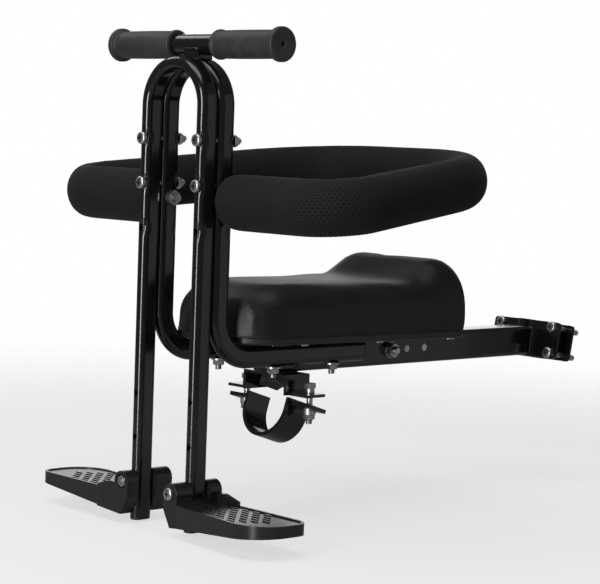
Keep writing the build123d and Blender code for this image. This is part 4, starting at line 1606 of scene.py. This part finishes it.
@dataclass(frozen=True)
class SoftBox:
    """A soft box by its place round the seat in degrees, its distance, its size and its glow."""

    name: str
    azimuth: float
    elevation: float
    distance: float
    width: float
    height: float
    glow: float

    def hang(self, centre: Triple) -> None:
        """Hangs the box and aims it.

        Args:
            centre: the point that it is aimed at.
        """
        data = bpy.data.lights.new(self.name, "AREA")
        data.shape = "RECTANGLE"
        data.size, data.size_y = self.width, self.height
        data.energy = self.glow * pi * self.width * self.height
        lamp = link(bpy.data.objects.new(self.name, data))
        way = toward(self.azimuth, self.elevation)
        lamp.location = Vector(centre) + way * self.distance
        lamp.rotation_euler = way.to_track_quat("Z", "Y").to_euler()
        lamp.visible_camera = False


@dataclass
class Studio:
    """Floor, backdrop, lights and the camera."""

    centre: Triple = (0.0, -0.33, 0.09)
    width: int = 600
    focal: float = 2115.19
    sensor: float = 36.0
    azimuth: float = 46.499
    elevation: float = 4.447
    roll: float = -2.054
    eye: Triple = (1.5306, -1.8134, 0.2262)
    sight: float = 100.0
    floor_gap: float = 0.002
    floor_radius: float = 2.4
    floor_sides: int = 96
    dome_radius: float = 18.0
    air: float = 0.1
    boxes: tuple[SoftBox, ...] = (
        SoftBox("strip_left", 14.5, 6.0, 2.4, 0.5, 1.7, 13.0),
        SoftBox("overhead", 20.0, 72.0, 2.0, 1.8, 1.3, 2.4),
        SoftBox("right_side", 129.0, 6.0, 2.6, 1.1, 1.8, 0.22),
        SoftBox("behind", 226.0, 13.0, 3.0, 2.6, 1.3, 1.2),
        SoftBox("left_high", 276.0, 43.0, 2.4, 1.0, 0.8, 2.0),
    )

    def camera(self) -> None:
        """Sets the camera where the picture was taken from."""
        back = toward(self.azimuth, self.elevation)
        turn = radians(self.azimuth)
        side = Vector((cos(turn), sin(turn), 0.0))
        top = back.cross(side)
        roll = radians(self.roll)
        right = side * cos(roll) - top * sin(roll)
        up = side * sin(roll) + top * cos(roll)
        data = bpy.data.cameras.new("view")
        data.sensor_width = self.sensor
        data.lens = self.focal / self.width * self.sensor
        data.clip_end = self.sight
        camera = link(bpy.data.objects.new("view", data))
        aim = Matrix((right, up, back)).transposed().to_4x4()
        camera.matrix_world = Matrix.Translation(self.eye) @ aim
        bpy.context.scene.camera = camera

    def lights(self) -> None:
        """Hangs the soft boxes and sets the room's own light."""
        for box in self.boxes:
            box.hang(self.centre)
        air = bpy.data.worlds.new("studio_air")
        air.use_nodes = True
        glow = next(node for node in air.node_tree.nodes if node.type == "BACKGROUND")
        glow.inputs["Color"].default_value = (1.0, 1.0, 1.0, 1.0)
        glow.inputs["Strength"].default_value = self.air
        bpy.context.scene.world = air

    def floor(self) -> None:
        """Lays the pale floor under the seat."""
        turns = ring_angles(self.floor_sides)
        rim = np.stack([np.cos(turns), np.sin(turns), np.zeros(self.floor_sides)], axis=1)
        floor = solid("floor", rim * self.floor_radius, [tuple(range(self.floor_sides))])
        floor.location = (self.centre[0], self.centre[1], cad_low.z - self.floor_gap)
        FloorPaint("floor_paint", (0.86, 0.86, 0.86), 0.7).dress(floor)

    def backdrop(self) -> None:
        """Hangs white paper all round, far off, that only the camera sees."""
        mesh = bpy.data.meshes.new("backdrop")
        work = bmesh.new()
        bmesh.ops.create_uvsphere(work, u_segments=48, v_segments=24, radius=self.dome_radius)
        work.to_mesh(mesh)
        work.free()
        paper = link(bpy.data.objects.new("backdrop", mesh))
        paper.location = self.centre
        for ray in ("diffuse", "glossy", "transmission", "volume_scatter", "shadow"):
            setattr(paper, f"visible_{ray}", False)
        PaperGlow("backdrop_paper", (1.0, 1.0, 1.0), 1.0).dress(paper)

    def build(self) -> None:
        """Sets the whole studio up."""
        self.camera()
        self.floor()
        self.backdrop()
        self.lights()
        bpy.context.scene.view_settings.view_transform = "Standard"


def dress_frame() -> None:
    """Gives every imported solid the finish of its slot."""
    for row in frame["record"]["subparts"]:
        FINISHES[Slot(row["material_slot"])].dress(frame["nodes"][row["node"]])


def main() -> None:
    """Builds the sub-assemblies in order and sets them in the studio."""
    logging.basicConfig(level=logging.INFO, format="%(name)s: %(message)s")
    dress_frame()
    tubes = FrameTubes()
    tubes.dress()
    tubes.welds()
    Fasteners().build()
    HolePlugs().build()
    Grip("left_grip", 1).build()
    Grip("right_grip", -1).build()
    GuardSleeve().build()
    SeatCushion().build()
    Studio().build()


if __name__ == "__main__":
    main()
